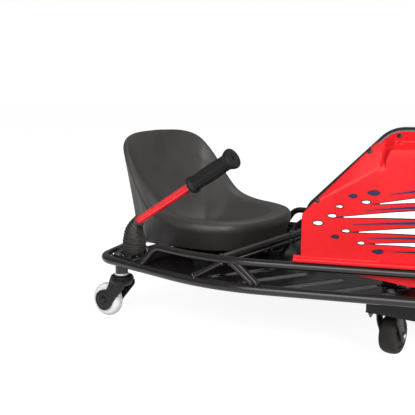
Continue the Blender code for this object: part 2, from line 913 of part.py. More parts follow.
def hoopRoute():
    # The hoop stands on the upper rail inside the fairing and follows its edge round the nose.
    foot = hoopInset(hoopLegAt, 0)
    edge = [p for p in edgeOutline(-hoopDrop) if p.z > 0.31]
    first = edge[0]
    line = (edge[1] - first).normalized()
    bend = first + line * (hoopLegAt - first.x) / line.x
    side = [beside(p.x, hoopInset(p.x, p.z), p.z) for p in edge]
    corner = beside(hoopLegAt, hoopInset(hoopLegAt, bend.z), bend.z)
    route = filleted([(beside(hoopLegAt, foot, upperHeight), 0), (corner, 0.03), (side[0], 0)]) + side[1:]
    level = fairingTop - hoopDrop
    for point, outward in zip(rail, railNormals):
        if point.x > 0.72 and point.y > 0:
            moved = point - outward * hoopInset(point.x, level)
            route.append(at(moved.x, moved.y, level))
    tip = at(rail[-1].x - hoopInset(rail[-1].x, level), 0, level)
    return route + [tip] + [Vector((p.x, -p.y, p.z)) for p in route[::-1]]


def buildHoop():
    made = piece("fairing_hoop", sweep(hoopRoute(), hoopRadius), "frame paint")
    cut(made, upperClearance())


# Steering and drive unit

def buildSteering():
    axis = at(steerAt, 0, 0)
    level = fairingTop - hoopDrop
    # The head tube on its cross tube between the hoop's sides
    hoop = hoopRoute()
    reach = next(a.lerp(b, (axis.x - a.x) / (b.x - a.x)).y for a, b in zip(hoop, hoop[1:]) if b.x > axis.x)
    ends = at(steerAt, -reach, level), at(steerAt, reach, level)
    head = piece("steering_head", rod(*ends, 0.0070, 10), "frame paint")
    weld(head, rod(axis + up * (level - 0.022), axis + up * (level + 0.022), columnRadius + 0.006, 20))
    cut(head, rod(axis + up * 0.3, axis + up * 0.6, columnRadius + runGap, 20))
    cut(head, sweep(hoop, hoopRadius + seatGap))
    # The lower bearing plate on the nose tubes
    low = upperHeight + upperRadius + seatGap
    rear, front = noseTubesAt
    plate = box(at(rear - 0.012, -0.060, low), at(front + 0.012, 0.060, bearingPlateTop))
    made = piece("bearing_plate", plate, "frame paint")
    weld(made, rod(axis + up * low, axis + up * (bearingPlateTop + 0.012), columnRadius + 0.009, 18))
    cut(made, rod(axis + up * 0.15, axis + up * 0.3, columnRadius + runGap, 20))

    steer = pivot("steering_axis", axis + up * turretTop)
    column = [
        (0.034, turretTop + seatGap), (0.034, turretTop + 0.005), (0.020, turretTop + 0.008),
        (columnRadius, turretTop + 0.012), (columnRadius, columnTop),
    ]
    piece("steering_column", turned(column, axis, up, 20), "bright steel", steer)
    # The wheel: rim, three-spoke spider and hub cap
    turns = [2 * pi * k / 28 for k in range(28)]
    rim = [axis + Vector((rimRadius * cos(t), rimRadius * sin(t), rimHeight)) for t in turns]
    piece("steering_rim", sweep(rim, rimTube, 8, closed=True), "black rubber", steer)
    hub = [
        (columnRadius + seatGap, columnTop - 0.020), (0.026, columnTop - 0.020),
        (0.032, columnTop - 0.006), (0.032, columnTop + 0.004), (0.010, columnTop + 0.004),
        (0.010, columnTop + seatGap), (columnRadius + seatGap, columnTop + seatGap),
    ]
    spider = piece("steering_spider", turned(hub, axis, up, 18, closed=True), "black plastic", steer)
    for k in range(3):
        angle = pi + 2 * pi * k / 3
        out = Vector((cos(angle), sin(angle), 0))
        side = Vector((-sin(angle), cos(angle), 0))
        inner = axis + out * 0.024 + up * (columnTop - 0.001)
        outer = axis + out * (rimRadius - 0.004) + up * (rimHeight - 0.001)
        section = [side * 0.014, -side * 0.014, -side * 0.014 - up * 0.004, side * 0.014 - up * 0.004]
        tip = [side * 0.009, -side * 0.009, -side * 0.009 - up * 0.004, side * 0.009 - up * 0.004]
        weld(spider, loft([[inner + s for s in section], [outer + s for s in tip]]))
    cut(spider, sweep(rim, rimTube + seatGap, 8, closed=True))
    capLow = columnTop + 0.004 + seatGap
    cap = [(0.030, capLow), (0.030, capLow + 0.006), (0.024, capLow + 0.012), (0.010, capLow + 0.014)]
    piece("steering_cap", turned(cap, axis, up, 18), "black plastic", steer)
    buildTurret(axis, steer)
    return steer


def buildTurret(axis, steer):
    sheet = turretSheet
    low = turretTop - sheet
    rear = motorBehind + motorRadius
    outline = []
    for k in range(9):
        angle = -pi / 2 + pi * k / 8
        outline.append(axis + Vector((0.030 + 0.043 * cos(angle), 0.043 * sin(angle), low)))
    outline += [axis + Vector((-rear, 0.043, low)), axis + Vector((-rear, -0.043, low))]
    fork = piece("drive_fork", prism(outline, up * sheet), "frame paint", steer)
    for hand in (1, -1):
        near = axis + Vector((0, hand * forkHalf, 0))
        arm = []
        for k in range(9):
            angle = pi + pi * k / 8
            arm.append(near + Vector((0.018 * cos(angle), 0, wheelRadius + 0.018 * sin(angle))))
        arm += [near + Vector((0.034, 0, low + sheet / 2)), near + Vector((-0.034, 0, low + sheet / 2))]
        weld(fork, prism(arm, Vector((0, hand * 0.004, 0))))
    centre = axis + up * wheelRadius
    wide = Vector((0, 0.06, 0))
    cut(fork, rod(centre - wide, centre + wide, 0.006 + seatGap, 16))
    # The motor hangs from the turret plate by its foot
    shaft = axis + Vector((-motorBehind, 0, motorHeight))
    body = [
        (motorRadius - 0.003, -0.043), (motorRadius, -0.040),
        (motorRadius, 0.018), (motorRadius - 0.003, 0.021),
    ]
    motor = piece("drive_motor", turned(body, shaft, Vector((0, 1, 0)), 20), "black plastic", steer)
    footLow = shaft + Vector((-0.022, -0.036, 0.020))
    footHigh = Vector((shaft.x + 0.022, shaft.y + 0.012, low - seatGap))
    weld(motor, box(footLow, footHigh))
    # The pinion turns on the motor's nose
    pinionSpin = pivot("pinion_axis", shaft, steer)
    pinion = toothed(shaft, pinionTeeth, 0.004)
    made = piece("drive_pinion", pinion, "bright steel", pinionSpin)
    nose = shaft + Vector((0, 0.021 + seatGap, 0))
    weld(made, rod(nose, shaft + Vector((0, chainAcross + 0.004, 0)), 0.006, 16))
    # The driven wheel: tyre, rim with its axle ends, and sprocket
    spin = pivot("drive_wheel_axis", centre, steer)
    side = Vector((0, 1, 0))
    half = tyreHalf
    r = flatRadius(wheelRadius)
    tyre = [(0.048, -half + 0.004), (0.058, -half), (r - 0.006, -half + 0.003), (r, -half + 0.009),
            (r, half - 0.009), (r - 0.006, half - 0.003), (0.058, half), (0.048, half - 0.004)]
    piece("drive_tyre", turned(tyre, centre, side, wheelSides, closed=True), "black rubber", spin)
    bore = 0.006 + seatGap
    rimEdge = 0.048 - seatGap
    hub = [(bore, -0.024), (0.014, -0.024), (0.016, -0.006), (0.038, -0.006), (0.042, -half + 0.003),
           (rimEdge, -half + 0.003), (rimEdge, half - 0.003), (0.042, half - 0.003), (0.038, 0.006),
           (0.016, 0.006), (0.014, 0.027), (bore, 0.027)]
    piece("drive_rim", turned(hub, centre, side, wheelSides, closed=True), "aluminium", spin)
    sprocket = piece("drive_sprocket", toothed(centre, sprocketTeeth, 0.004), "bright steel", spin)
    reach = Vector((0, 0.05, 0))
    cut(sprocket, rod(centre - reach, centre + reach, bore, 20))
    head = forkHalf + 0.004 + seatGap
    bolt = [(0.0085, -head - 0.006), (0.0095, -head), (0.006, -head),
            (0.006, head), (0.0095, head), (0.0085, head + 0.006)]
    piece("drive_axle", turned(bolt, centre, side, 12), "bright steel", steer)
    buildChain(centre, shaft, steer)


def pitchRadius(teeth):
    return chainPitch / (2 * sin(pi / teeth))


def toothed(centre, teeth, thick):
    # A sprocket: each tooth rises between two chain rollers.
    root = pitchRadius(teeth) - chainPitch * 0.34
    crest = pitchRadius(teeth) + chainPitch * 0.10
    ring = []
    for k in range(teeth):
        for share, radius in ((-0.30, root), (-0.14, crest), (0.14, crest), (0.30, root)):
            angle = 2 * pi * (k + share) / teeth
            ring.append(centre + Vector((radius * cos(angle), chainAcross - thick / 2, radius * sin(angle))))
    return prism(ring, Vector((0, thick, 0)))


def buildChain(sprocket, pinion, parent):
    # The chain's plates run either side of the teeth; rollers join them at each pitch.
    big = pitchRadius(sprocketTeeth)
    small = pitchRadius(pinionTeeth)
    low, high, half = 0.0022, 0.0058, 0.0045
    line = pinion - sprocket
    distance = hypot(line.x, line.z)
    tilt = atan2(line.z, line.x)
    splay = pi / 2 - atan2(big - small, distance)
    route = []
    for start, end, middle, radius in (
        (tilt + splay, tilt + 2 * pi - splay, sprocket, big),
        (tilt - splay, tilt + splay, pinion, small),
    ):
        count = 14 if radius == big else 5
        for k in range(count + 1):
            angle = start + (end - start) * k / count
            route.append(middle + Vector((radius * cos(angle), 0, radius * sin(angle))))
    rings = []
    for k, point in enumerate(route):
        before = route[k - 1]
        after = route[(k + 1) % len(route)]
        along = (after - before).normalized()
        out = Vector((0, 1, 0)).cross(along)
        rings.append([
            point + Vector((0, chainAcross + y, 0)) + out * z
            for y, z in ((-half, low), (half, low), (half, high), (-half, high))
        ])
    piece("drive_chain", loft(rings, closed=True), "bright steel", parent)


# Front anti-tip casters

def buildTipCaster(name, side):
    across = side * tipAcross
    rear, front = tipAt - 0.0345, tipAt + 0.071
    outer = 0.035
    slant = 0.001
    top = panTop - panSheet - seatGap
    left = across - outer
    outline = [
        at(rear, left, top), at(front, left, top), at(front, left, hoodLow),
        at(rear + slant, left, hoodLow), at(rear, left, hoodLow + 0.014),
    ]
    made = piece("tip_hood_" + name, prism(outline, Vector((0, 2 * outer, 0))), "frame paint")
    sheet = hoodSheet
    near = left + sheet
    back = rear + slant + sheet
    hollow = [
        at(rear + sheet, near, top - sheet), at(front + 0.01, near, top - sheet),
        at(front + 0.01, near, hoodLow - 0.01), at(back, near, hoodLow - 0.01),
        at(back, near, hoodLow), at(rear + sheet, near, hoodLow + 0.016),
    ]
    cut(made, prism(hollow, Vector((0, 2 * (outer - sheet), 0))))
    axis = at(tipAt, across, 0)
    crown = top - sheet - seatGap
    swivel = pivot("tip_swivel_" + name, axis + up * crown)
    profile = [(0.022, crown - 0.010), (0.024, crown - 0.008), (0.024, crown - 0.002), (0.016, crown)]
    fork = piece("tip_fork_" + name, turned(profile, axis, up, 16), "black plastic", swivel)
    inner = tipHalf + 0.0018
    trail = -side * tipTrail
    axle = at(tipAt, across + trail, tipAxle)
    for hand in (1, -1):
        x = axis.x + hand * inner
        arm = []
        for k in range(9):
            angle = pi + pi * k / 8
            arm.append(Vector((x, axle.y + 0.012 * cos(angle), tipAxle + 0.012 * sin(angle))))
        arm += [Vector((x, across + 0.014, crown - 0.006)), Vector((x, across - 0.014, crown - 0.006))]
        weld(fork, prism(arm, Vector((hand * forkSheet, 0, 0))))
    spin = pivot("tip_axle_pivot_" + name, axle, swivel)
    bore = 0.004 + seatGap
    rim = tipRadius
    face = tipHalf
    profile = [
        (bore, -face), (rim - 0.006, -face), (rim - 0.001, -face + 0.004), (rim, -face + 0.009),
        (rim, face - 0.009), (rim - 0.001, face - 0.004), (rim - 0.006, face), (bore, face),
    ]
    wheel = turned(profile, axle, Vector((1, 0, 0)), 20, closed=True)
    piece("tip_wheel_" + name, wheel, "black rubber", spin)
    head = inner + forkSheet
    profile = [
        (0.0055, -head - 0.004), (0.0065, -head - 0.003), (0.0065, -head + 0.001),
        (0.004, -head + 0.001), (0.004, head - 0.001), (0.0065, head - 0.001),
        (0.0065, head + 0.003), (0.0055, head + 0.004),
    ]
    weld(fork, turned(profile, axle, Vector((1, 0, 0)), 10))


# Electrics

def buildElectrics():
    long, wide, tall = batterySize
    top = panTop - panSheet - seatGap
    fit = 0.0015
    inner = Vector((long + 2 * fit, 2 * wide + 3 * fit, tall + 2 * fit))
    low = top - inner.z - traySheet
    flange = 0.010
    half = inner.y / 2 + traySheet
    front = trayRear + inner.x + 2 * traySheet
    made = piece("battery_tray", box(at(trayRear, -half, low), at(front, half, top)), "frame paint")
    wing = traySheet
    weld(made, box(at(trayRear - flange, -half - flange, top - wing), at(front + flange, half + flange, top)))
    floor = at(trayRear + traySheet, -inner.y / 2, low + traySheet)
    cut(made, box(floor, at(front - traySheet, inner.y / 2, top + 0.01)))
    for name, side in (("right", -1), ("left", 1)):
        near = side * (wide + fit) / 2
        start = at(trayRear + traySheet + fit, near - wide / 2, low + traySheet + seatGap)
        end = start + Vector((long, wide, tall))
        piece("battery_" + name, box(start, end, 0.002), "black plastic")
    # The controller lies on the pan under the seat, between the straps
    start = at(0.112, -0.030, panTop + seatGap)
    piece("controller", box(start, start + Vector(controllerSize), 0.002), "aluminium")


def buildPedal():
    across = -0.090
    low = panTop + seatGap
    bracket = box(at(0.545, across - 0.024, low), at(0.605, across + 0.024, low + 0.003))
    made = piece("pedal_bracket", bracket, "frame paint")
    hinge = at(0.556, across, low + 0.014)
    for hand in (1, -1):
        near = hinge.y + hand * 0.021
        ear = box(Vector((hinge.x - 0.008, min(near, near + hand * 0.003), low + 0.001)),
                  Vector((hinge.x + 0.008, max(near, near + hand * 0.003), low + 0.022)))
        weld(made, ear)
    reach = Vector((0, 0.03, 0))
    cut(made, rod(hinge - reach, hinge + reach, 0.0035 + runGap, 14))
    swing = pivot("pedal_axis", hinge)
    slope = Vector((cos(radians(38)), 0, sin(radians(38))))
    normal = Vector((-slope.z, 0, slope.x))
    half = Vector((0, 0.019, 0))
    start = hinge + normal * 0.004
    outline = [start - slope * 0.006 - half, start + slope * 0.100 - half,
               start + slope * 0.100 + half, start - slope * 0.006 + half]
    pedal = piece("throttle_pedal", prism(outline, normal * 0.004), "black plastic", swing)
    weld(pedal, rod(hinge - half, hinge + half, 0.0065, 16))
    ears = Vector((0, 0.0255, 0))
    weld(pedal, rod(hinge - ears, hinge + ears, 0.0035, 14))


def buildSwitchPanel():
    # A folded panel on the dash tube with the charger port and the power switch
    top = upperHeight + upperRadius + seatGap
    rear = dashTubeAt - 0.016
    front = dashTubeAt + 0.016
    made = piece("switch_panel", box(at(rear, -0.036, top), at(front, 0.036, top + 0.002)), "frame paint")
    weld(made, box(at(rear - 0.002, -0.036, top - 0.030), at(rear, 0.036, top + 0.002)))
    port = at(rear - 0.002 - seatGap, 0.018, top - 0.014)
    back = Vector((-0.006, 0, 0))
    piece("charger_port", rod(port, port + back, 0.009, 16), "black plastic")
    hinge = at(rear - 0.005, -0.016, top - 0.014)
    weld(made, box(at(rear - 0.005, -0.028, top - 0.0225), at(rear - 0.001, -0.004, top - 0.0055)))
    cut(made, box(at(rear - 0.010, -0.0245, top - 0.0195), at(rear - 0.0015, -0.0075, top - 0.0085)))
    swing = pivot("switch_axis", hinge)
    half = 0.0078
    rocker = [
        hinge + Vector((ahead, -half, rise)) for ahead, rise in (
            (-0.0035, -0.0045), (-0.0015, 0), (-0.0020, 0.0045),
            (0.0004, 0.0045), (0.0008, 0), (0.0004, -0.0045),
        )
    ]
    piece("power_switch", prism(rocker, Vector((0, 2 * half, 0))), "red paint", swing)


harnessPoints = [
    (0.2025, 0.000, 0.143), (0.2180, 0.0005, 0.1425), (0.2300, 0.016, 0.140), (0.226, 0.050, 0.138),
    (0.205, 0.110, 0.138), (0.180, 0.180, 0.142),
    (0.180, 0.198, 0.160), (0.215, 0.206, 0.188), (0.300, 0.220, 0.231), (0.400, 0.238, 0.2625),
    (0.440, 0.237, 0.289), (0.485, 0.225, 0.303), (0.560, 0.188, 0.297), (0.660, 0.110, 0.262),
    (0.735, 0.050, 0.235),
    (0.745, 0.036, 0.212),
]


def buildHarness():
    route = smoothed([at(*p) for p in harnessPoints], 2)
    curve = bpy.data.curves.new("wiring_harness", "CURVE")
    curve.dimensions = "3D"
    curve.bevel_depth = 0.0048
    curve.bevel_resolution = 1
    curve.use_fill_caps = True
    line = curve.splines.new("POLY")
    line.points.add(len(route) - 1)
    for spot, point in zip(line.points, route):
        spot.co = (*point, 1)
    curve.materials.append(material("black rubber"))
    made = bpy.data.objects.new("wiring_harness", curve)
    bpy.context.scene.collection.objects.link(made)


def main():
    for old in list(bpy.data.objects):
        bpy.data.objects.remove(old)
    buildLowerRail()
    buildUpperRail()
    buildDeckPan()
    buildSeat()
    buildSeatSupport()
    buildPivots()
    drift = pivot("drift_axis", at(0, 0, shaftHeight))
    buildDriftBar(drift)
    buildBoot(drift)
    for name, side in (("right", -1), ("left", 1)):
        buildCaster(name, side, drift)
        buildTipCaster(name, side)
    buildFairing()
    buildHoop()
    buildSteering()
    buildElectrics()
    buildPedal()
    buildSwitchPanel()
    buildHarness()


main()
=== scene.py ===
from math import atan2, cos, exp, hypot, pi, radians, sin, sqrt, tan

import bmesh
import bpy
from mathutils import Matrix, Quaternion, Vector


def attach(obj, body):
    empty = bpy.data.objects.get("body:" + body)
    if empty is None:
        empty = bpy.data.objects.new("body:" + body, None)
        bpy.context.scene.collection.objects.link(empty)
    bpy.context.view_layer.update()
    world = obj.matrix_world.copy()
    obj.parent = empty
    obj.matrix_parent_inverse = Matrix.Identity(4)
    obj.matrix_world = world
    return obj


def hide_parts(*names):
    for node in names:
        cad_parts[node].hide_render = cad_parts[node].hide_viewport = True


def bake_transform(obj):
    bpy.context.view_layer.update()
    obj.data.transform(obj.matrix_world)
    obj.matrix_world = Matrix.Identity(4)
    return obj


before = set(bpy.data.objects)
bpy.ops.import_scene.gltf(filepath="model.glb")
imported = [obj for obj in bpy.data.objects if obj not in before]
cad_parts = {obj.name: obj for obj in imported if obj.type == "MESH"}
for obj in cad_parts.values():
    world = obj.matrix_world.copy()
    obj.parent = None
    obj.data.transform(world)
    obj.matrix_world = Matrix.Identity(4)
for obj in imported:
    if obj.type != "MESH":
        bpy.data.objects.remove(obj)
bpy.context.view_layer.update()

ahead, aside, up = Vector((1, 0, 0)), Vector((0, 1, 0)), Vector((0, 0, 1))
hands = (1, -1)
print("frame loaded")

# Stage and camera

view = {
    "place": (0.6515, -1.400, 0.503), "turn": (80.79, 0, 36.07), "lens": 60.72, "sensor": 36,
    "white": 1.0, "horizon": 0.08, "zenith": 0.36, "brightAbove": 0.55,
    "floorTone": "#8f8f8f", "floorGlow": 0.90, "floorRough": 0.9, "floorHalf": 30, "floorDrop": 0.0007,
}
lamps = [  # where it hangs, what it looks at, its width and its power
    ((0.6, -2.8, 1.35), (0.0, 0.0, 0.25), 2.0, 57),
    ((2.3, -1.1, 1.5), (-0.1, 0.0, 0.30), 1.4, 84),
    ((-0.2, 1.7, 2.8), (0.0, 0.0, 0.2), 1.8, 16),
]

scene = bpy.context.scene
scene.view_settings.view_transform = "Standard"


def hexColour(text):
    # An sRGB hex value as the linear colour that the shader wants
    parts = [int(text[k:k + 2], 16) / 255 for k in (1, 3, 5)]
    return (*[p / 12.92 if p <= 0.04045 else ((p + 0.055) / 1.055) ** 2.4 for p in parts], 1)


def addNode(tree, kind, settings=None, links=None):
    # A node, its settings by socket or property name, and what feeds its sockets
    node = tree.nodes.new(kind)
    for key, value in (settings or {}).items():
        if isinstance(key, str) and hasattr(node, key):
            setattr(node, key, value)
        else:
            node.inputs[key].default_value = value
    for key, source in (links or {}).items():
        tree.links.new(source, node.inputs[key])
    return node


def seenBy(tree, other):
    # 1 where the camera looks, or one other kind of ray
    ray = addNode(tree, "ShaderNodeLightPath")
    return addNode(tree, "ShaderNodeMath", {"operation": "MAXIMUM"},
                   {0: ray.outputs["Is Camera Ray"], 1: ray.outputs[other]}).outputs[0]


def added(name, data):
    made = bpy.data.objects.new(name, data)
    scene.collection.objects.link(made)
    return made


def setStage():
    world = bpy.data.worlds.new("studio")
    scene.world = world
    world.use_nodes = True
    tree = world.node_tree
    tree.nodes.clear()
    seen = seenBy(tree, "Is Transmission Ray")
    # The studio is brighter overhead than at its walls
    way = addNode(tree, "ShaderNodeSeparateXYZ", {}, {0: addNode(tree, "ShaderNodeTexCoord").outputs["Generated"]})
    heights = {"From Min": 0.0, "From Max": view["brightAbove"], "To Min": view["horizon"], "To Max": view["zenith"]}
    high = addNode(tree, "ShaderNodeMapRange", heights, {"Value": way.outputs["Z"]})
    white = addNode(tree, "ShaderNodeBackground", {"Color": (1, 1, 1, 1), "Strength": view["white"]})
    sky = addNode(tree, "ShaderNodeBackground", {"Color": (1, 1, 1, 1)}, {"Strength": high.outputs[0]})
    both = addNode(tree, "ShaderNodeMixShader", {}, {0: seen, 1: sky.outputs[0], 2: white.outputs[0]})
    addNode(tree, "ShaderNodeOutputWorld", {}, {"Surface": both.outputs[0]})

    for k, (spot, aim, size, power) in enumerate(lamps):
        light = bpy.data.lights.new("softbox" + str(k), "AREA")
        light.shape = "SQUARE"
        light.size = size
        light.energy = power
        lamp = added("softbox" + str(k), light)
        lamp.location = spot
        lamp.rotation_euler = (Vector(aim) - Vector(spot)).to_track_quat("-Z", "Y").to_euler()

    camera = added("camera", bpy.data.cameras.new("camera"))
    camera.location = view["place"]
    camera.rotation_euler = [radians(a) for a in view["turn"]]
    camera.data.lens = view["lens"]
    camera.data.sensor_width = view["sensor"]
    scene.camera = camera

    # Painted studio floor: the camera sees it white, and it keeps the kart's soft shadow
    paint = bpy.data.materials.new("studioFloor")
    paint.use_nodes = True
    tree = paint.node_tree
    shader = tree.nodes["Principled BSDF"]
    shader.inputs["Base Color"].default_value = hexColour(view["floorTone"])
    shader.inputs["Roughness"].default_value = view["floorRough"]
    shader.inputs["Specular IOR Level"].default_value = 0.0
    seen = seenBy(tree, "Is Glossy Ray")
    glow = addNode(tree, "ShaderNodeEmission", {"Color": (1, 1, 1, 1), "Strength": view["floorGlow"]})
    none = addNode(tree, "ShaderNodeEmission", {"Color": (0, 0, 0, 1), "Strength": 0.0})
    pick = addNode(tree, "ShaderNodeMixShader", {}, {0: seen, 1: none.outputs[0], 2: glow.outputs[0]})
    both = addNode(tree, "ShaderNodeAddShader", {}, {0: shader.outputs[0], 1: pick.outputs[0]})
    tree.links.new(both.outputs[0], tree.nodes["Material Output"].inputs["Surface"])
    mesh = bpy.data.meshes.new("floor")
    far = view["floorHalf"]
    mesh.from_pydata([(-far, -far, 0), (far, -far, 0), (far, far, 0), (-far, far, 0)], [], [(0, 1, 2, 3)])
    mesh.materials.append(paint)
    floor = added("floor", mesh)
    floor.location = (0, 0, -view["floorDrop"])


setStage()
print("stage set")

# Finishes


def makeFinish(name, look):
    # A surface with two tones, uneven gloss and fine relief, each with its size in mm
    made = bpy.data.materials.new(name)
    made.use_nodes = True
    tree = made.node_tree
    shader = tree.nodes["Principled BSDF"]
    fixed = {"Metallic": look.get("metallic", 0.0), "Coat Weight": look.get("coat", 0.0),
             "Coat Roughness": look.get("coatRough", 0.08), "Specular IOR Level": look.get("specular", 0.5)}
    if "scatter" in look:
        fixed.update({"Subsurface Weight": look["scatter"], "Subsurface Scale": 0.004})
    for socket, value in fixed.items():
        shader.inputs[socket].default_value = value
    place = addNode(tree, "ShaderNodeTexCoord").outputs["Object"]
    if "stretch" in look:  # drawn out along one direction, as brushing or mould flow leaves it
        place = addNode(tree, "ShaderNodeMapping", {"Scale": look["stretch"]}, {"Vector": place}).outputs[0]

    def noise(size, detail, **more):
        settings = {"Scale": 1000 / size, "Detail": detail, **more}
        return addNode(tree, "ShaderNodeTexNoise", settings, {"Vector": place}).outputs["Fac"]

    def spread(source, low, high, **ends):
        settings = {"From Min": low, "From Max": high, **{"To " + key: value for key, value in ends.items()}}
        return addNode(tree, "ShaderNodeMapRange", settings, {"Value": source}).outputs[0]

    cloud = noise(look["cloud"], 5, Roughness=0.6)
    tones = {"data_type": "RGBA", 6: hexColour(look["tone"]), 7: hexColour(look["other"])}
    colour = addNode(tree, "ShaderNodeMix", tones, {0: spread(cloud, 0.35, 0.68)}).outputs[2]
    low, high = look["rough"]
    rough = spread(noise(look.get("smear", 35), 3), 0.3, 0.7, Min=low, Max=high)
    if "worn" in look:  # edges and high spots take a second tone: rubbed wear on most finishes, a painted highlight on the bar's lacquer
        ridge = addNode(tree, "ShaderNodeNewGeometry").outputs["Pointiness"]
        broken = addNode(tree, "ShaderNodeMath", {"operation": "MULTIPLY_ADD", 1: 0.10}, {0: cloud, 2: ridge})
        edge = spread(broken.outputs[0], look.get("wornFrom", 0.60), 0.70)
        colour = addNode(tree, "ShaderNodeMix", {"data_type": "RGBA", 7: hexColour(look["worn"])},
                         {0: edge, 6: colour}).outputs[2]
        rough = addNode(tree, "ShaderNodeMath", {"operation": "MULTIPLY_ADD", 1: 0.22, "use_clamp": True},
                        {0: edge, 2: rough}).outputs[0]
    tree.links.new(colour, shader.inputs["Base Color"])
    tree.links.new(rough, shader.inputs["Roughness"])
    if look.get("cells"):
        grain = addNode(tree, "ShaderNodeTexVoronoi", {"feature": "SMOOTH_F1", "Scale": 1000 / look["grain"]},
                        {"Vector": place}).outputs["Distance"]
    else:
        grain = noise(look["grain"], 2)
    bump = addNode(tree, "ShaderNodeBump", {"Strength": look.get("relief", 0.2), "Distance": look.get("depth", 0.0001)},
                   {"Height": grain})
    tree.links.new(bump.outputs[0], shader.inputs["Normal"])
    return made


looks = {  # tones in sRGB; cloud, smear and grain are sizes in mm; slot is what the finish is in the part's palette
    # Powder-coated steel tube: even black with a soft gloss and the faint orange peel of cured powder
    "powderCoat": {"slot": "frame", "tone": "#151312", "other": "#1c1918", "cloud": 60, "rough": (0.16, 0.24),
                   "grain": 2.2, "relief": 0.10, "worn": "#4a4a4c", "wornFrom": 0.66},
    # Powder-coated sheet: the same coat with less gloss; its darker tone is painted shade for the deck, tray and hoods
    "shadedPowderSheet": {"slot": "frame", "tone": "#0d0b0b", "other": "#141111", "cloud": 90, "rough": (0.14, 0.24),
                    "grain": 2.0, "relief": 0.1, "smear": 55, "specular": 0.25},
    # Blow-moulded polyethylene seat: charcoal, satin, a fine leather grain from the mould
    "seatPolyethylene": {"slot": "seat", "tone": "#312e2d", "other": "#393635", "cloud": 120, "rough": (0.42, 0.52),
                         "grain": 1.5, "cells": True, "relief": 0.32, "depth": 0.0003, "smear": 60},
    # Gloss ABS fairing: saturated red under a clear skin
    "fairingAbs": {"slot": "fairing", "tone": "#c81219", "other": "#d0181e", "cloud": 160, "rough": (0.20, 0.30),
                   "grain": 14, "relief": 0.05, "depth": 0.0004, "coat": 0.08, "coatRough": 0.05, "specular": 0.16,
                   "smear": 80},
    # Red lacquer on the bar's steel tube; the paler pink on its edges and ridges is a painted highlight
    "barLacquer": {"slot": "bar", "tone": "#fb2c37", "other": "#f0212c", "cloud": 40, "rough": (0.2, 0.3),
                   "grain": 1.8, "relief": 0.08, "depth": 0.0002, "coat": 0.5, "worn": "#ff7a72", "wornFrom": 0.64},
    # Moulded thermoplastic rubber of the grip: matt, slightly dusty
    "gripRubber": {"slot": "rubber", "tone": "#100f0e", "other": "#171515", "cloud": 18, "rough": (0.52, 0.66),
                   "grain": 0.6, "relief": 0.3, "worn": "#474445", "specular": 0.3},
    # Thin neoprene bellows: matt black that greys on the crests of its pleats
    "bellowsNeoprene": {"slot": "rubber", "tone": "#131110", "other": "#1c1917", "cloud": 14, "rough": (0.46, 0.60),
                        "grain": 0.5, "relief": 0.25, "worn": "#5a534d", "wornFrom": 0.56},
    # Cast polyurethane caster tread: warm white, faintly translucent, grazed by the road
    "casterUrethane": {"slot": "caster", "tone": "#f8f6f4", "other": "#f0edea", "cloud": 30, "rough": (0.34, 0.48),
                       "grain": 0.9, "relief": 0.1, "scatter": 0.05},
    # Glass-filled nylon: satin black, slightly flow-marked
    "glassNylon": {"slot": "black_plastic", "tone": "#0c0b0a", "other": "#131110", "cloud": 12, "rough": (0.34, 0.48),
                   "grain": 0.8, "worn": "#4d4849", "wornFrom": 0.63, "specular": 0.3},
    # Bright zinc plate on nuts, bolts and washers
    "zincPlate": {"slot": "steel", "tone": "#c3c5c6", "other": "#a9abaf", "cloud": 5, "rough": (0.24, 0.42),
                  "grain": 0.5, "relief": 0.15, "metallic": 1.0},
    # Black-oxide screws: near black, still metallic at the rim
    "blackOxide": {"slot": "steel", "tone": "#2a2a2b", "other": "#383838", "cloud": 4, "rough": (0.32, 0.48),
                   "grain": 0.5, "relief": 0.15, "metallic": 0.7, "worn": "#77777a"},
    # Turned steel shafts: ground bright, with a trace of the lathe
    "turnedSteel": {"slot": "steel", "tone": "#b4b6b9", "other": "#9b9da1", "cloud": 9, "rough": (0.2, 0.34),
                    "grain": 0.35, "relief": 0.12, "metallic": 1.0, "stretch": (1, 6, 1)},
    # Die-cast aluminium wheel and case: pale, fine cast skin
    "castAluminium": {"slot": "alloy", "tone": "#a7a9ab", "other": "#939598", "cloud": 16, "rough": (0.36, 0.5),
                      "grain": 0.7, "relief": 0.3, "metallic": 1.0},
    # Roller chain: oiled dark steel with polished flanks
    "oiledChain": {"slot": "steel", "tone": "#6d6a66", "other": "#4c4947", "cloud": 6, "rough": (0.24, 0.42),
                   "grain": 0.5, "relief": 0.15, "metallic": 1.0, "worn": "#b5b2ad"},
    # Solid rubber tyre: deep matt black, browned by dust in the tread
    "tyreRubber": {"slot": "tyre", "tone": "#171514", "other": "#221f1c", "cloud": 20, "rough": (0.62, 0.8),
                   "grain": 0.8, "relief": 0.35, "depth": 0.0002, "worn": "#4b4743", "wornFrom": 0.62,
                   "specular": 0.3},
    # ABS battery case: dark grey with a spark-eroded mould skin
    "batteryAbs": {"slot": "black_plastic", "tone": "#2b2d30", "other": "#33353a", "cloud": 45, "rough": (0.5, 0.6),
                   "grain": 0.45, "relief": 0.4},
    # PVC cable jacket: black with a waxy sheen
    "cablePvc": {"slot": "black_plastic", "tone": "#121212", "other": "#1b1b1b", "cloud": 25, "rough": (0.3, 0.42),
                 "grain": 1.2, "relief": 0.12},
    # Pin and terminal brass
    "brass": {"slot": "steel", "tone": "#c7a258", "other": "#b48f48", "cloud": 3, "rough": (0.25, 0.4),
              "grain": 0.4, "relief": 0.1, "depth": 0.00005, "metallic": 1.0},
    # Red rocker of the power switch, in gloss polycarbonate
    "rockerPolycarbonate": {"slot": "bar", "tone": "#c81a1e", "other": "#d42126", "cloud": 6, "rough": (0.18, 0.26),
                            "grain": 2.0, "relief": 0.05, "coat": 0.5},
}
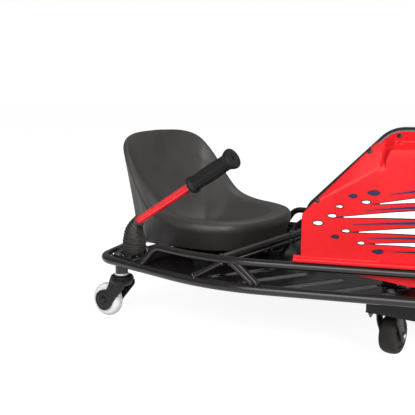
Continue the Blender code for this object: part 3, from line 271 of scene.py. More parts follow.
# Printed vinyl in white, navy and black
for name, tone, other, cloud, gloss in (("White", "#f4f4f2", "#eceae6", 30, {"coat": 0.4}),
                                        ("Navy", "#17234d", "#111b40", 12, {"specular": 0.25}),
                                        ("Black", "#100f12", "#161418", 12, {"specular": 0.25})):
    looks["vinyl" + name] = {"slot": "fairing", "tone": tone, "other": other, "cloud": cloud, "rough": (0.3, 0.36),
                             "grain": 1.0, "relief": 0.05, "depth": 0.00005, **gloss}
finishes = {name: makeFinish(name, look) for name, look in looks.items()}
print("finishes mixed:", len(finishes))

# Solids under construction


def mm(*pairs, lift=0.0):
    # A profile of (radius, height) pairs in mm, raised by a height in m
    return [(a / 1000, b / 1000 + lift) for a, b in pairs]


def evened(half):
    # A profile and its mirror image
    return half + [(radius, -height) for radius, height in half[::-1]]


def turns(count, first=0.0):
    return [2 * pi * (k + first) / count for k in range(count)]


def level(angle, radius=1.0):
    return Vector((radius * cos(angle), radius * sin(angle), 0))


def upright(angle, radius=1.0):
    return Vector((radius * cos(angle), 0, radius * sin(angle)))


def flipped(points):
    return [Vector((p.x, -p.y, p.z)) for p in points]


def loft(rings, closed=False):
    mesh = bmesh.new()
    rows = [[mesh.verts.new(point) for point in ring] for ring in rings]
    pairs = list(zip(rows, rows[1:]))
    if closed:
        pairs.append((rows[-1], rows[0]))
    for low, high in pairs:
        for k in range(len(low)):
            n = (k + 1) % len(low)
            mesh.faces.new((low[k], low[n], high[n], high[k]))
    if not closed:
        mesh.faces.new(rows[0])
        mesh.faces.new(rows[-1][::-1])
    bmesh.ops.recalc_face_normals(mesh, faces=mesh.faces)
    return mesh


def turned(profile, centre, axis=up, sides=48, closed=False, shape=None):
    # Revolves (radius, height) pairs; shape may change the radius by angle and height
    turn = up.rotation_difference(Vector(axis))
    rings = []
    for radius, height in profile:
        ring = []
        for angle in turns(sides, 0.5):
            r = radius + (shape(angle, height, radius) if shape else 0)
            ring.append(centre + turn @ (level(angle, r) + up * height))
        rings.append(ring)
    return loft(rings, closed)


def rod(start, end, radius, sides=32, soft=0.0):
    long = (end - start).length
    profile = [(radius, 0), (radius, long)]
    if soft:
        profile = [(radius - soft, 0), (radius - soft * 0.3, soft * 0.3), (radius, soft),
                   (radius, long - soft), (radius - soft * 0.3, long - soft * 0.3), (radius - soft, long)]
    return turned(profile, start, end - start, sides)


def sweep(points, radius, sides=24, closed=False, section=None):
    # A tube along a route; section may change the radius by angle
    rings = []
    across = None
    for k, point in enumerate(points):
        before = points[k - 1] if k or closed else point
        after = points[(k + 1) % len(points)] if k < len(points) - 1 or closed else point
        along = (after - before).normalized()
        if across is None:
            across = up.cross(along) if abs(along.z) < 0.9 else aside
        across = (across - across.project(along)).normalized()
        other = along.cross(across)
        r = radius[k] if isinstance(radius, list) else radius
        rings.append([point + (r + (section(a) if section else 0)) * (cos(a) * across + sin(a) * other)
                      for a in turns(sides)])
    return loft(rings, closed)


def prism(outline, depth):
    return loft([outline, [point + depth for point in outline]])


def rounded(mesh, edges, width):
    bmesh.ops.bevel(mesh, geom=edges, offset=width, segments=2, affect="EDGES", profile=0.6)
    return mesh


def plate(outline, depth, edge):
    # Cut from sheet, with the edges of both faces rounded
    made = prism(outline, depth)
    way = depth.normalized()
    return rounded(made, [e for e in made.edges if abs((e.verts[0].co - e.verts[1].co).dot(way)) < 1e-6], edge)


def slab(low, high, edge=0.0):
    a, b = Vector(low), Vector(high)
    mesh = prism([Vector((x, y, a.z)) for x, y in ((a.x, a.y), (b.x, a.y), (b.x, b.y), (a.x, b.y))], up * (b.z - a.z))
    return rounded(mesh, mesh.edges[:], edge) if edge else mesh


def folded(line, halves, thick):
    # Sheet bent along a line in the upright plane, with half its width at each point
    rings = []
    for k, (point, half) in enumerate(zip(line, halves)):
        along = (line[min(k + 1, len(line) - 1)] - line[max(k - 1, 0)]).normalized()
        inward = Vector((along.z, 0, -along.x)) * thick
        wide = aside * half
        rings.append([point - wide, point + wide, point + wide + inward, point - wide + inward])
    return loft(rings)


def joined(parts):
    whole = parts[0]
    for part in parts[1:]:
        held = bpy.data.meshes.new("held")
        part.to_mesh(held)
        whole.from_mesh(held)
        bpy.data.meshes.remove(held)
        part.free()
    return whole


def mirrored(mesh):
    copy = mesh.copy()
    bmesh.ops.scale(copy, vec=(1, -1, 1), verts=copy.verts)
    bmesh.ops.reverse_faces(copy, faces=copy.faces)
    return copy


def softEdges(made, width):
    bevel = made.modifiers.new("edges", "BEVEL")
    bevel.width = width
    bevel.segments = 2
    bevel.limit_method = "ANGLE"
    bevel.angle_limit = radians(32)


def asMesh(name, mesh):
    data = bpy.data.meshes.new(name)
    mesh.to_mesh(data)
    mesh.free()
    return data


def shade(data, sharp=35):
    data.shade_smooth()
    data.set_sharp_from_angle(angle=radians(sharp))


def place(name, parts, finish, body="kart", slot=None, node=None, edge=0.0, sharp=35):
    # A finished piece; it stands for the CAD node of its own name, if there is one
    data = asMesh(name, joined(parts) if isinstance(parts, list) else parts)
    data.materials.append(finishes[finish])
    shade(data, sharp)
    made = added(name, data)
    if edge:
        softEdges(made, edge)
    if body:
        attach(made, body)
    node = node or "".join("_" + c.lower() if c.isupper() else c for c in name)
    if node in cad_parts:
        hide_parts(node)
    return made


def evaluated(made):
    bpy.context.view_layer.update()
    return bpy.data.meshes.new_from_object(made.evaluated_get(bpy.context.evaluated_depsgraph_get()))


def cut(made, mesh):
    # Takes a solid out of a piece, for good
    tool = added("tool", asMesh("tool", mesh))
    held = list(made.modifiers)
    for m in held:
        m.show_viewport = False
    step = made.modifiers.new("cut", "BOOLEAN")
    step.operation = "DIFFERENCE"
    step.solver = "EXACT"
    step.object = tool
    result = evaluated(made)
    made.modifiers.remove(step)
    old = made.data
    made.data = result
    for m in held:
        m.show_viewport = True
    bpy.data.objects.remove(tool)
    bpy.data.meshes.remove(old)
    result.name = made.name
    shade(result)


def carry(node, finish, edge):
    # A CAD node whose shape is right keeps it and gets its real surface
    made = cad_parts[node]
    made.data.materials.clear()
    made.data.materials.append(finishes[finish])
    softEdges(made, edge)


# Fasteners


def hexHead(spot, axis, across, tall, washer=0.0):
    # A hexagon head on its washer, chamfered above, standing on the spot along the axis
    a = Vector(axis).normalized()
    r = across / sqrt(3)
    parts = []
    low = 0.0
    if washer:
        low = 0.0012
        parts.append(turned([(washer - 0.0003, 0), (washer, 0.0003), (washer, low - 0.0003), (washer - 0.0003, low)],
                            spot, a, 24))
    parts.append(turned([(r, low), (r, low + tall * 0.8), (r * 0.9, low + tall)], spot, a, 6))
    return joined(parts)


def nut(spot, axis, across, tall, thread):
    # A nut with the bolt's end standing out of it
    a = Vector(axis).normalized()
    return joined([hexHead(spot, a, across, tall, across * 0.62),
                   rod(spot, spot + a * (tall + thread * 0.9 + 0.0012), thread / 2, 16, 0.0005)])


def buttonHead(spot, axis, radius, tall):
    # A domed socket screw: the dome, and a hexagon socket sunk into it
    a = Vector(axis).normalized()
    shares = ((1, 0), (1, 0.2), (0.93, 0.5), (0.74, 0.84), (0.52, 0.99), (0.44, 1))
    made = turned([(radius * wide, tall * high) for wide, high in shares], spot, a, 24)
    top = [f for f in made.faces if len(f.verts) == 24 and (f.calc_center_median() - spot).dot(a) > tall * 0.6]
    bmesh.ops.inset_region(made, faces=top, thickness=radius * 0.04)
    for vert in top[0].verts:
        vert.co -= a * tall * 0.55
    return made


# Routes


def filleted(corners, closed=False, step=radians(4)):
    route = []
    for k, (corner, radius) in enumerate(corners):
        if not radius or (not closed and k in (0, len(corners) - 1)):
            route.append(corner)
            continue
        back = (corners[k - 1][0] - corner).normalized()
        on = (corners[(k + 1) % len(corners)][0] - corner).normalized()
        turn = pi - back.angle(on)
        centre = corner + (back + on).normalized() * radius / cos(turn / 2)
        first = corner + back * radius * tan(turn / 2) - centre
        axis = first.cross(on)
        count = max(4, round(turn / step))
        route += [centre + Quaternion(axis, turn * j / count) @ first for j in range(count + 1)]
    return route


def smoothed(points, count):
    curve = []
    ends = [2 * points[0] - points[1], *points, 2 * points[-1] - points[-2]]
    for a, b, c, d in zip(ends, ends[1:], ends[2:], ends[3:]):
        for k in range(count):
            t = k / count
            curve.append(0.5 * (2 * b + (c - a) * t + (2 * a - 5 * b + 4 * c - d) * t * t
                                + (3 * b - a - 3 * c + d) * t ** 3))
    curve.append(points[-1])
    return curve


def softStep(x):
    x = min(1, max(0, x))
    return x * x * (3 - 2 * x)


def fromTable(table, x):
    for (a, low), (b, high) in zip(table, table[1:]):
        if x <= b:
            return low + (high - low) * (x - a) / (b - a)
    return table[-1][1]


# Frame: a round-nosed lower loop, an upper loop on braces, cross tubes and the deck pan

tubes = {
    "length": 1.0615, "width": 0.673, "tail": 0.1175, "origin": -0.4065, "swell": 0.0115,
    # bends from the tail on: how far ahead of it, how far in from the side, and the radius
    "bends": ((0.011, 0.210, 0.5), (0.058, 0.048, 0.06), (0.398, 0, 0.45)), "noseBend": (0.227, 0.15),
    "rail": 0.0095, "railAt": 0.137, "upper": 0.008, "upperAt": 0.185, "inset": 0.014,
    "foot": 0.082, "bend": 0.120, "brace": 0.006,
    "braces": ((0.241, 0.309), (0.370, 0.314), (0.380, 0.330)),
    "rearTube": 0.040, "dashTube": 0.292, "noseTubes": (0.710, 0.850), "weld": 0.0017, "seatGap": 0.0003,
}


def at(along, left, height):
    return Vector((tubes["origin"] + along, left, height))


def halfRail():
    r = tubes["rail"]
    tail = r - tubes["tail"]
    nose = tail + tubes["length"] - 2 * r
    wide = tubes["width"] / 2 - r + tubes["swell"]
    corners = [(Vector((tail, 0, 0)), 0.8)]
    corners += [(Vector((tail + x, wide - y, 0)), radius) for x, y, radius in tubes["bends"]]
    corners.append((Vector((nose, wide - tubes["noseBend"][0], 0)), tubes["noseBend"][1]))
    other = [(Vector((corner.x, -corner.y, 0)), radius) for corner, radius in corners[:0:-1]]
    loop = filleted(corners + other, closed=True)
    start = min((p for p in loop if abs(p.y) < 1e-4 and p.x < 0.4), key=lambda p: p.x, default=Vector((tail, 0, 0)))
    return [Vector((start.x, 0, 0))] + [p for p in loop if p.y > 1e-4] + [Vector((nose, 0, 0))]


def normalsOf(route):
    found = []
    for k in range(len(route)):
        along = (route[min(k + 1, len(route) - 1)] - route[max(k - 1, 0)]).normalized()
        found.append(Vector((-along.y, along.x, 0)))
    found[0], found[-1] = -ahead, ahead
    return found


rail = halfRail()
railNormals = normalsOf(rail)


def onRail(station):
    for a, b, m, n in zip(rail, rail[1:], railNormals, railNormals[1:]):
        if a.x <= station <= b.x and b.x > a.x:
            t = (station - a.x) / (b.x - a.x)
            return a.lerp(b, t), m.lerp(n, t).normalized()
    return rail[-1], railNormals[-1]


def halfWidth(station, inset=0.0):
    point, outward = onRail(station)
    return point.y - inset * outward.y


def beside(station, inset, height, side=1):
    point, outward = onRail(station)
    point = point - outward * inset
    return at(point.x, side * point.y, height)


def upperRoute():
    t = tubes
    start = t["bend"] + 0.06
    side = [beside(start, t["inset"], t["upperAt"])]
    for point, outward in zip(rail, railNormals):
        if point.x > start + 0.004 and point.y > 1e-4:
            moved = point - outward * t["inset"]
            side.append(at(moved.x, moved.y, t["upperAt"]))
    side += [at(rail[-1].x - t["inset"], 0, t["upperAt"])] + flipped(side[::-1])
    foot = beside(t["foot"], 0, t["railAt"])
    bend = beside(t["bend"], t["inset"], t["upperAt"])
    lead = filleted([(foot, 0), (bend, 0.035), (side[0], 0)])
    return lead[:-1] + side + flipped(lead[::-1])[1:]


def acrossTube(station, height, radius, inset=0.0):
    half = halfWidth(station, inset)
    return rod(at(station, -half, height), at(station, half, height), radius)


def weldBead(spot, axis, radius):
    # The rippled fillet that runs round a tube's foot
    turn = up.rotation_difference(Vector(axis))
    angles = turns(48)
    sizes = [tubes["weld"] * (1 + 0.22 * sin(angle * 12)) for angle in angles]
    return sweep([spot + turn @ level(angle, radius) for angle in angles], sizes, 8, closed=True)


def makeFrame():
    t = tubes
    left = [at(p.x, p.y, t["railAt"]) for p in rail]
    parts = [sweep(left + flipped(left[-2:0:-1]), t["rail"], 28, closed=True),
             acrossTube(t["rearTube"], t["railAt"], t["rail"], 0.004)]
    for side in hands:
        spot = at(t["rearTube"], side * (halfWidth(t["rearTube"]) - t["rail"] - 0.001), t["railAt"])
        parts.append(weldBead(spot, aside, t["rail"] + 0.0004))
    place("lowerRail", parts, "powderCoat")

    parts = [sweep(upperRoute(), t["upper"], 24)]
    for station in (t["dashTube"], *t["noseTubes"]):
        parts.append(acrossTube(station, t["upperAt"], t["upper"], t["inset"] + 0.003))
        for side in hands:
            spot = at(station, side * (halfWidth(station, t["inset"]) - t["upper"]), t["upperAt"])
            parts.append(weldBead(spot, aside, t["upper"] + 0.0003))
    for low, high in t["braces"]:
        for side in hands:
            foot = beside(low, 0.001, t["railAt"] + t["rail"] - 0.001, side)
            head = beside(high, t["inset"], t["upperAt"], side)
            lean = (head - foot).normalized()
            parts += [rod(foot, head, t["brace"], 20), weldBead(foot + lean * 0.0022, lean, t["brace"] + 0.0006),
                      weldBead(head - lean * t["upper"] * 1.15, lean, t["brace"] + 0.0004)]
    for side in hands:
        spot = beside(t["foot"], 0, t["railAt"], side) + up * t["rail"] * 0.82 + ahead * 0.008
        parts.append(weldBead(spot, (0.6, 0, 0.8), t["upper"] + 0.0006))
    place("upperRail", parts, "powderCoat")


makeFrame()

pan = {
    "top": 0.130, "sheet": 0.002, "rear": 0.044, "front": 0.660, "opening": 0.146, "steerAt": 0.780,
    "beads": (0.304, 0.381, 0.464, 0.538, 0.605), "inner": 0.125, "length": 0.150, "slant": radians(28),
    "width": 0.016, "rise": 0.0035, "soft": 0.004, "margin": 0.020, "across": 128, "along": 190,
}
underDeck = pan["top"] - pan["sheet"] - tubes["seatGap"]


def beadLines():
    lines = []
    back = Vector((-sin(pan["slant"]), cos(pan["slant"])))
    for station in pan["beads"]:
        inner = Vector((station, pan["inner"]))
        length = pan["length"]
        while halfWidth((inner + back * length).x) - (inner + back * length).y < pan["margin"] + tubes["rail"]:
            length -= 0.005
        lines.append((inner, inner + back * length))
    return lines


def nearest(spot, a, b):
    # Distance from a spot to the line between two points
    t = min(1, max(0, (spot - a).dot(b - a) / (b - a).length_squared))
    return (spot - a.lerp(b, t)).length


def makePan():
    p = pan
    lines = beadLines()
    inset = sqrt((tubes["rail"] + tubes["seatGap"]) ** 2 - (tubes["railAt"] - p["top"]) ** 2)

    def rise(x, y):
        # Height of the pressed beads above the sheet, rounded over their edges
        near = min(nearest(Vector((x, abs(y))), a, b) for a, b in lines)
        return p["rise"] * softStep((p["width"] / 2 - near) / p["soft"] + 0.25)

    across, along = p["across"], p["along"]
    mesh = bmesh.new()
    tops, lows = [], []
    for k in range(across + 1):
        share = 2 * k / across - 1
        row = []
        for j in range(along + 1):
            y = share * halfWidth(p["rear"] + (p["front"] - p["rear"]) * j / along, inset)
            reach = p["opening"] ** 2 - y * y
            front = min(p["front"], p["steerAt"] - sqrt(reach)) if reach > 0 else p["front"]
            x = p["rear"] + (front - p["rear"]) * j / along
            row.append((x, share * halfWidth(x, inset)))
        for rows, depth in ((tops, 0), (lows, p["sheet"])):
            rows.append([at(x, y, p["top"] + rise(x, y) - depth) for x, y in row])
    tops, lows = ([[mesh.verts.new(point) for point in row] for row in rows] for rows in (tops, lows))
    for k in range(across):
        for j in range(along):
            mesh.faces.new((tops[k][j], tops[k][j + 1], tops[k + 1][j + 1], tops[k + 1][j]))
            mesh.faces.new((lows[k][j], lows[k + 1][j], lows[k + 1][j + 1], lows[k][j + 1]))
    rim = [(k, 0) for k in range(across)] + [(across, j) for j in range(along)]
    rim += [(k, along) for k in range(across, 0, -1)] + [(0, j) for j in range(along, 0, -1)]
    for (a, b), (c, d) in zip(rim, rim[1:] + rim[:1]):
        mesh.faces.new((tops[a][b], tops[c][d], lows[c][d], lows[a][b]))
    bmesh.ops.recalc_face_normals(mesh, faces=mesh.faces)
    place("deckPan", mesh, "shadedPowderSheet")


makePan()
print("frame and deck made")

# Seat: one moulded bucket with a rolled lip, two drain slots and four bosses underneath

seat = {
    "rim": [
        (0.212, 0.000, 0.215), (0.203, 0.085, 0.217), (0.178, 0.136, 0.220), (0.130, 0.161, 0.223),
        (0.070, 0.168, 0.228), (0.015, 0.171, 0.245), (-0.024, 0.169, 0.286), (-0.052, 0.166, 0.328),
        (-0.080, 0.158, 0.368), (-0.100, 0.138, 0.394), (-0.115, 0.090, 0.408), (-0.121, 0.000, 0.412),
    ],
    "low": (0.030, 0.176), "power": 2.5, "wall": 0.004, "base": 0.154, "lip": 0.018,
    # where the flange starts as a share of the way to the rim, and how softly the pan bends into it
    "flange": 0.86, "flangeSoft": 0.08,
    "shares": [0.06, 0.14, 0.24, 0.34, 0.44, 0.53, 0.61, 0.68, 0.74, 0.79, 0.83, 0.86, 0.885, 0.91, 0.94, 0.97],
    "roll": ((0.22, -0.02), (0.48, 0.05), (0.72, 0.20), (0.90, 0.45), (1.0, 0.80), (1.0, 1.15)),
    "groove": 0.0016, "grooveAt": 0.105, "grooveWide": 0.022,
    "slot": {"at": (0.152, 0.095, 0.15), "deep": 0.0052, "wide": 0.0095, "swing": radians(36), "tall": 0.10},
    "bosses": [(0.020, 0.055), (0.120, 0.055)], "strap": 0.055, "barAt": 0.247, "bar": 0.005,
}


def climb(share, upright):
    # How much of the rim's height is reached: a level flange round the pan, a plain sweep up the back
    soft = seat["flangeSoft"]
    flat = share / seat["flange"]
    if flat > 1 - soft:
        flat = 1 if flat > 1 + soft else flat - (flat - 1 + soft) ** 2 / (4 * soft)
    return flat ** seat["power"] * (1 - upright) + share ** seat["power"] * upright


def makeSeat():
    s = seat
    left = smoothed([Vector(p) for p in s["rim"]], 4)
    rim = left + flipped(left[-2:0:-1])
    lowX, lowZ = s["low"]
    flat = [Vector((p.x - lowX, p.y, 0)) for p in rim]
    outward = []
    for k in range(len(rim)):
        line = rim[(k + 1) % len(rim)] - rim[k - 1]
        outward.append(Vector((line.y, -line.x, 0)).normalized())
    back = [min(1, max(0, (p.z - 0.23) / 0.15)) for p in rim]
    lip = [s["lip"] - 0.008 * b for b in back]

    def bowl(share):
        return [at(lowX + f.x * share, f.y * share, lowZ + (p.z - lowZ) * climb(share, b))
                for f, p, b in zip(flat, rim, back)]

    def surface(share, depth, crease=0.0):
        # The bowl, moved along its own normal
        here = bowl(share)
        near = bowl(share + 0.01)
        ring = []
        for k, point in enumerate(here):
            turn = here[(k + 1) % len(rim)] - here[k - 1]
            normal = turn.cross(near[k] - point).normalized()
            ring.append(point + normal * (depth + crease * (0.3 + 0.7 * back[k])))
        return ring

    def rolled(out, down):
        return [at(p.x, p.y, p.z) + o * w * out - up * w * down for p, o, w in zip(rim, outward, lip)]

    def foot(inset, height):
        return [at(max(p.x, -0.060), p.y * (0.93 if p.x > -0.03 else 0.86), height) - o * (inset - 0.006)
                for p, o in zip(rim, outward)]

    def between(low, high, share, shift):
        return [a.lerp(b, share) - o * shift for a, b, o in zip(low, high, outward)]

    rings = []
    for share in s["shares"]:
        off = (1 - share - s["grooveAt"]) / s["grooveWide"]
        rings.append(surface(share, 0, s["groove"] * exp(-off * off)))
    rings.append(bowl(1.0))
    rings += [rolled(*step) for step in s["roll"]]
    edge = rings[-1]
    base = foot(0.0, s["base"])
    rings += [between(edge, base, t, 0.0) for t in (0.12, 0.4, 0.7, 0.94)]
    rings += [base, foot(s["wall"] * 0.5, s["base"] - 0.0006), foot(s["wall"], s["base"])]
    rings += [between(edge, base, t, s["wall"]) for t in (0.9, 0.5, 0.08)]
    rings += [surface(share, s["wall"]) for share in s["shares"][-2::-2]]
    made = place("seatShell", loft(rings), "seatPolyethylene", sharp=60)
    step = made.modifiers.new("smooth", "SUBSURF")
    step.levels = 1
    result = evaluated(made)
    made.modifiers.remove(step)
    made.data = result
    # The drain slots, cut through the flange at its front corners
    slot = s["slot"]
    long = level(slot["swing"], slot["wide"])
    short = level(slot["swing"] + pi / 2, slot["deep"])
    middle = at(*slot["at"])
    corners = [(middle + u * long + v * short, slot["deep"] * 0.9) for u, v in ((-1, -1), (1, -1), (1, 1), (-1, 1))]
    tool = prism(filleted(corners, closed=True, step=radians(15)), up * slot["tall"])
    cut(made, mirrored(tool))
    cut(made, tool)
    bosses = []
    screws = []
    low = tubes["railAt"] + tubes["rail"] + 0.0036
    for station, across in s["bosses"]:
        angle = atan2(across, station - lowX)
        edgePoint = min(rim, key=lambda p: abs(atan2(p.y, p.x - lowX) - angle))
        share = hypot(station - lowX, across) / hypot(edgePoint.x - lowX, edgePoint.y)
        top = lowZ + (edgePoint.z - lowZ) * climb(share, 0) - 0.002 - low
        for side in hands:
            bosses.append(turned([(0.0115, 0), (0.012, 0.0005), (0.012, top - 0.006), (0.0145, top - 0.0015)],
                                 at(station, side * across, low), up, 32))
            screws.append(hexHead(at(station, side * across, low - 0.0033), -up, 0.010, 0.004, 0.008))
    place("seatBosses", bosses, "seatPolyethylene")
    place("seatBolts", screws, "zincPlate")

    low = tubes["railAt"] + tubes["rail"] + tubes["seatGap"]
    half = halfWidth(s["barAt"])
    barAt = low + s["bar"]
    parts = [rod(at(s["barAt"], -half, barAt), at(s["barAt"], half, barAt), s["bar"], 20, 0.0006)]
    for side in hands:
        near = side * s["strap"]
        parts.append(slab(at(tubes["rearTube"] - tubes["rail"], near - 0.012, low),
                          at(0.250, near + 0.012, low + 0.003), 0.0007))
        parts += [weldBead(at(s["barAt"], near + hand * 0.012, barAt), aside, 0.0052) for hand in hands]
    place("seatSupport", parts, "powderCoat")


makeSeat()
print("seat made")

# Drift mechanism: a shaft across the tail that the bar tilts and that carries the rear casters

drift = {
    "at": 0.140, "across": -0.255, "bar": 0.0093, "rise": 0.036, "bend": 0.050, "lean": 0.018, "slope": radians(31.3),
    "reach": 0.300, "groove": 0.0016, "grooveAt": 0.12, "grooveWide": 0.13, "pivot": 0.215,
    "clamp": mm((11.4, -8.8), (15.2, -8.8), (16.2, -7.8), (16.2, 11.8), (15.2, 12.8), (11.4, 12.8)),
    "socket": mm((9.6, 12), (12.8, 12), (12.8, 27), (11.8, 28), (9.6, 28)),
    "collar": mm((11.2, -5), (16, -5), (16.8, -4.2), (16.8, 4.2), (16, 5), (11.2, 5)),
}


def barRoute():
    d = drift
    slope = upright(d["slope"])
    root = at(0, d["across"], d["at"])
    run = d["bend"] * tan((pi / 2 - d["slope"]) / 2)
    foot = root + up * (d["rise"] + run)
    corner = foot + slope * d["lean"] / slope.x
    return filleted([(root, 0), (corner, d["bend"]), (foot + slope * (d["reach"] + run - 0.004), 0)]), slope


def makeDrift():
    d = drift
    route = barRoute()[0]

    def groove(angle):
        # A rolled groove runs along both sides of the tube
        off = min(abs(angle - pi - d["grooveAt"]), abs((angle + pi) % (2 * pi) - pi - d["grooveAt"]))
        return -d["groove"] * exp(-(off / d["grooveWide"]) ** 2)

    place("driftBar", sweep(route, d["bar"], 72, section=groove), "barLacquer", "drift")
    lean = (route[1] - route[0]).normalized()
    place("driftClamp", [turned(d["clamp"], route[0], aside, 40, closed=True),
                         turned(d["socket"], route[0], lean, 36, closed=True)], "powderCoat", "drift")
    bolts = []
    for side in hands:
        bolts.append(hexHead(at(-0.0165, d["across"] + 0.002 + side * 0.006, d["at"] - 0.002), -ahead, 0.008, 0.0045,
                             0.0062))
        # Collars stop the shaft from sliding in its bushes
        spot = at(0, side * (d["pivot"] - 0.0145), d["at"])
        bolts.append(turned(d["collar"], spot, aside, 40, closed=True))
        bolts.append(buttonHead(spot + ahead * 0.0160, ahead, 0.0032, 0.002))
    place("shaftCollars", bolts, "zincPlate", "drift")
    carry("drift_shaft", "turnedSteel", 0.0006)
    for name in ("right", "left"):
        carry("pivot_bracket_" + name, "powderCoat", 0.0006)
        carry("pivot_bush_" + name, "glassNylon", 0.0003)


makeDrift()

grip = {
    "long": 0.122, "radius": 0.0164, "flutes": 14, "deep": 0.0011, "bore": 9.7, "waist": 0.0005,
    "head": ((15.5, 0), (17.6, 0.8), (18.9, 2.5), (19.4, 5), (19.1, 7.8), (18, 10), (16.8, 11.2), (16.1, 12.2)),
    "end": ((16.3, 104), (17.2, 106.5), (19, 109.5), (20.6, 113), (21.6, 116.5), (21.8, 119), (21.5, 120.8),
            (20.5, 122), (15, 122.3), (6, 122.1), (4.2, 121.6), (3.8, 119), (3.8, 112)),
    "nub": mm((1.5, -1), (1.5, 0.3), (1, 0.8), (0.4, 1)), "nubAt": 0.1035,
}


def makeGrip():
    g = grip
    route, slope = barRoute()
    start = route[-1] - slope * (g["long"] - 0.012)
    profile = mm((g["bore"], 0.5), *g["head"])
    profile += [(g["radius"] - g["waist"] * cos(k / 18 * 2 * pi), 0.0135 + 0.0885 * k / 18) for k in range(19)]
    profile += mm(*g["end"], (g["bore"], 111.8))

    def flute(angle, height, radius):
        if radius < 0.0145 or not 0.012 < height < 0.105:
            return 0
        fade = softStep((height - 0.0150) / 0.006) * softStep((0.1000 - height) / 0.006)
        return -g["deep"] * fade * softStep(0.5 + 1.6 * cos(g["flutes"] * angle))

    parts = [turned(profile, start, slope, g["flutes"] * 10, closed=True, shape=flute)]
    turn = up.rotation_difference(slope)
    for angle in turns(g["flutes"], 0.5):  # a ring of small nubs before the end flange
        out = turn @ level(angle)
        parts.append(turned(g["nub"], start + slope * g["nubAt"] + out * 0.0161, out, 12))
    place("driftGrip", parts, "gripRubber", "drift")


makeGrip()

boot = {
    "foot": 0.137, "end": 0.0352, "pleats": 15, "deep": 0.0034, "shift": 0.0145, "wall": 0.0012, "perPleat": 10,
    "sizes": [(0, 0.0258), (0.25, 0.0264), (0.45, 0.0266), (0.65, 0.0238), (0.85, 0.0178), (1, 0.0128)],
    "collar": mm((12.8, 0), (13, 1.2), (12.6, 2.8), (11.2, 3.6), (9.8, 3)), "lift": 0.0115, "around": 56,
    "tie": (0.0131, 0.0008), "tieAt": 0.0013, "bendFrom": (0.012, 0.142), "bendTo": (0.030, 0.212),
}


def makeBoot():
    # The bellows run from the frame up the bar; the tie round their neck is carried with the bar
    b = boot
    route, slope = barRoute()
    dense = []
    for start, end in zip(route, route[1:]):
        steps = max(1, round((end - start).length / 0.0005))
        dense += [start.lerp(end, k / steps) for k in range(steps)]
    origin = tubes["origin"]
    run = [route[0] + up * (b["foot"] - route[0].z)] + [p for p in dense if p.x <= origin + b["end"]]

    def ringAt(middle, radius, other, count):
        return [middle + radius * (cos(angle) * aside + sin(angle) * other) for angle in turns(count)]

    count = b["pleats"] * b["perPleat"] + 1
    outer = []
    inner = []
    for k in range(count):
        share = k / (count - 1)
        wave = 0.5 - 0.5 * cos(2 * pi * k / b["perPleat"])
        crest = wave ** 1.5  # rounded valleys and narrower, rubbed crests
        ridge = fromTable(b["sizes"], share) - b["deep"] * (1 - 0.62 * share) * (1 - crest)
        other = up.lerp(slope, share ** 2).normalized().cross(aside)
        middle = run[round((len(run) - 1) * share)] - other * b["shift"] * (1 - share ** 2.2)
        for rings, radius in ((outer, ridge), (inner, ridge - b["wall"])):
            # The foot clears the cross tube ahead of it
            rings.append([p + up * b["lift"] * softStep((p.x - origin - 0.020) / 0.010) * (1 - softStep(share / 0.22))
                          for p in ringAt(middle, radius, other, b["around"])])
    other = slope.cross(aside)
    collar = [ringAt(run[-1] + slope * shift, radius, other, b["around"]) for radius, shift in b["collar"]]
    made = place("bellowsBoot", loft(outer + collar + inner[::-2], closed=True), "bellowsNeoprene", None,
                 node="drift_boot", sharp=180)
    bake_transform(made)
    radius, thick = b["tie"]
    ring = ringAt(run[-1] + slope * b["tieAt"], radius, other, 40)
    place("bellowsTie", sweep(ring, thick, 10, closed=True), "blackOxide", "drift")


makeBoot()
print("drift bar, grip and bellows made")

# Rear casters: split mount, white ring, grooved race, nylon fork and urethane wheel

caster = {
    "across": 0.275, "radius": 0.038, "half": 0.0135, "trail": 0.044, "crown": 0.0927, "cap": 0.0232,
    "sheet": 0.0032, "stem": 0.0142, "stemTop": -0.0125, "raceTall": 0.0088,
    "clamp": evened(mm((11.3, -10), (16, -10), (17.2, -8.8))), "ear": (-0.0222, -0.0130, 0.0085, 0.0050),
    "earBolt": (0.0062, 0.0036, 0.0042), "earBoltAt": (-0.0178, 0.0048, 0.0052),
    "ring": ((14.6, 0.3), (15.4, 0.9), (15.6, 2.2), (15.4, 3.6), (14.6, 4.2)),
    "race": ((25.5, 0), (26.8, 0.6), (27.1, 1.8), (26.2, 2.6), (24.5, 3), (24.5, 3.8), (25.2, 4.4), (25, 6.4),
             (24, 7.4), (22.2, 8.4), (18, 8.8)),
    "dome": ((15, -15), (21.5, -12), (24, -8.5), (25.2, -6.2), (25.8, -3), (25.6, -0.8), (24.8, 0)),
    "button": mm((8, 0), (7.8, 1.6), (7, 2.4), (5, 2.6)), "coverRings": (0.0196, 0.0105), "coverRing": 0.0010,
    # the fork's arm seen from the side: where its cover starts and how far that goes round, then its edges
    "cover": (radians(-38), radians(-225), 39),
    "armRear": ((-0.0335, 0.0660), (-0.0262, 0.0775), (-0.0225, 0.0867)),
    "armTop": ((-0.0215, 0.0915), (0.0215, 0.0915)),
    "armFront": ((0.0228, 0.0887), (0.0215, 0.0797), (0.0085, 0.0640), (-0.0130, 0.0400)),
    "rib": ((-0.010, 0.0827), (-0.019, 0.0700), (-0.030, 0.0570)), "ribSize": 0.0013,
    # the wheel's face, and its tread: how far it bulges, in how many steps and how full
    "lip": ((5.2, 3), (22, 3), (24, 1), (26.2, 0)), "tread": (0.0105, 12, 0.8), "gap": 0.0018,
    "pin": 0.0038, "pinHead": (0.0048, 0.0022), "pinOut": 0.0024,
}


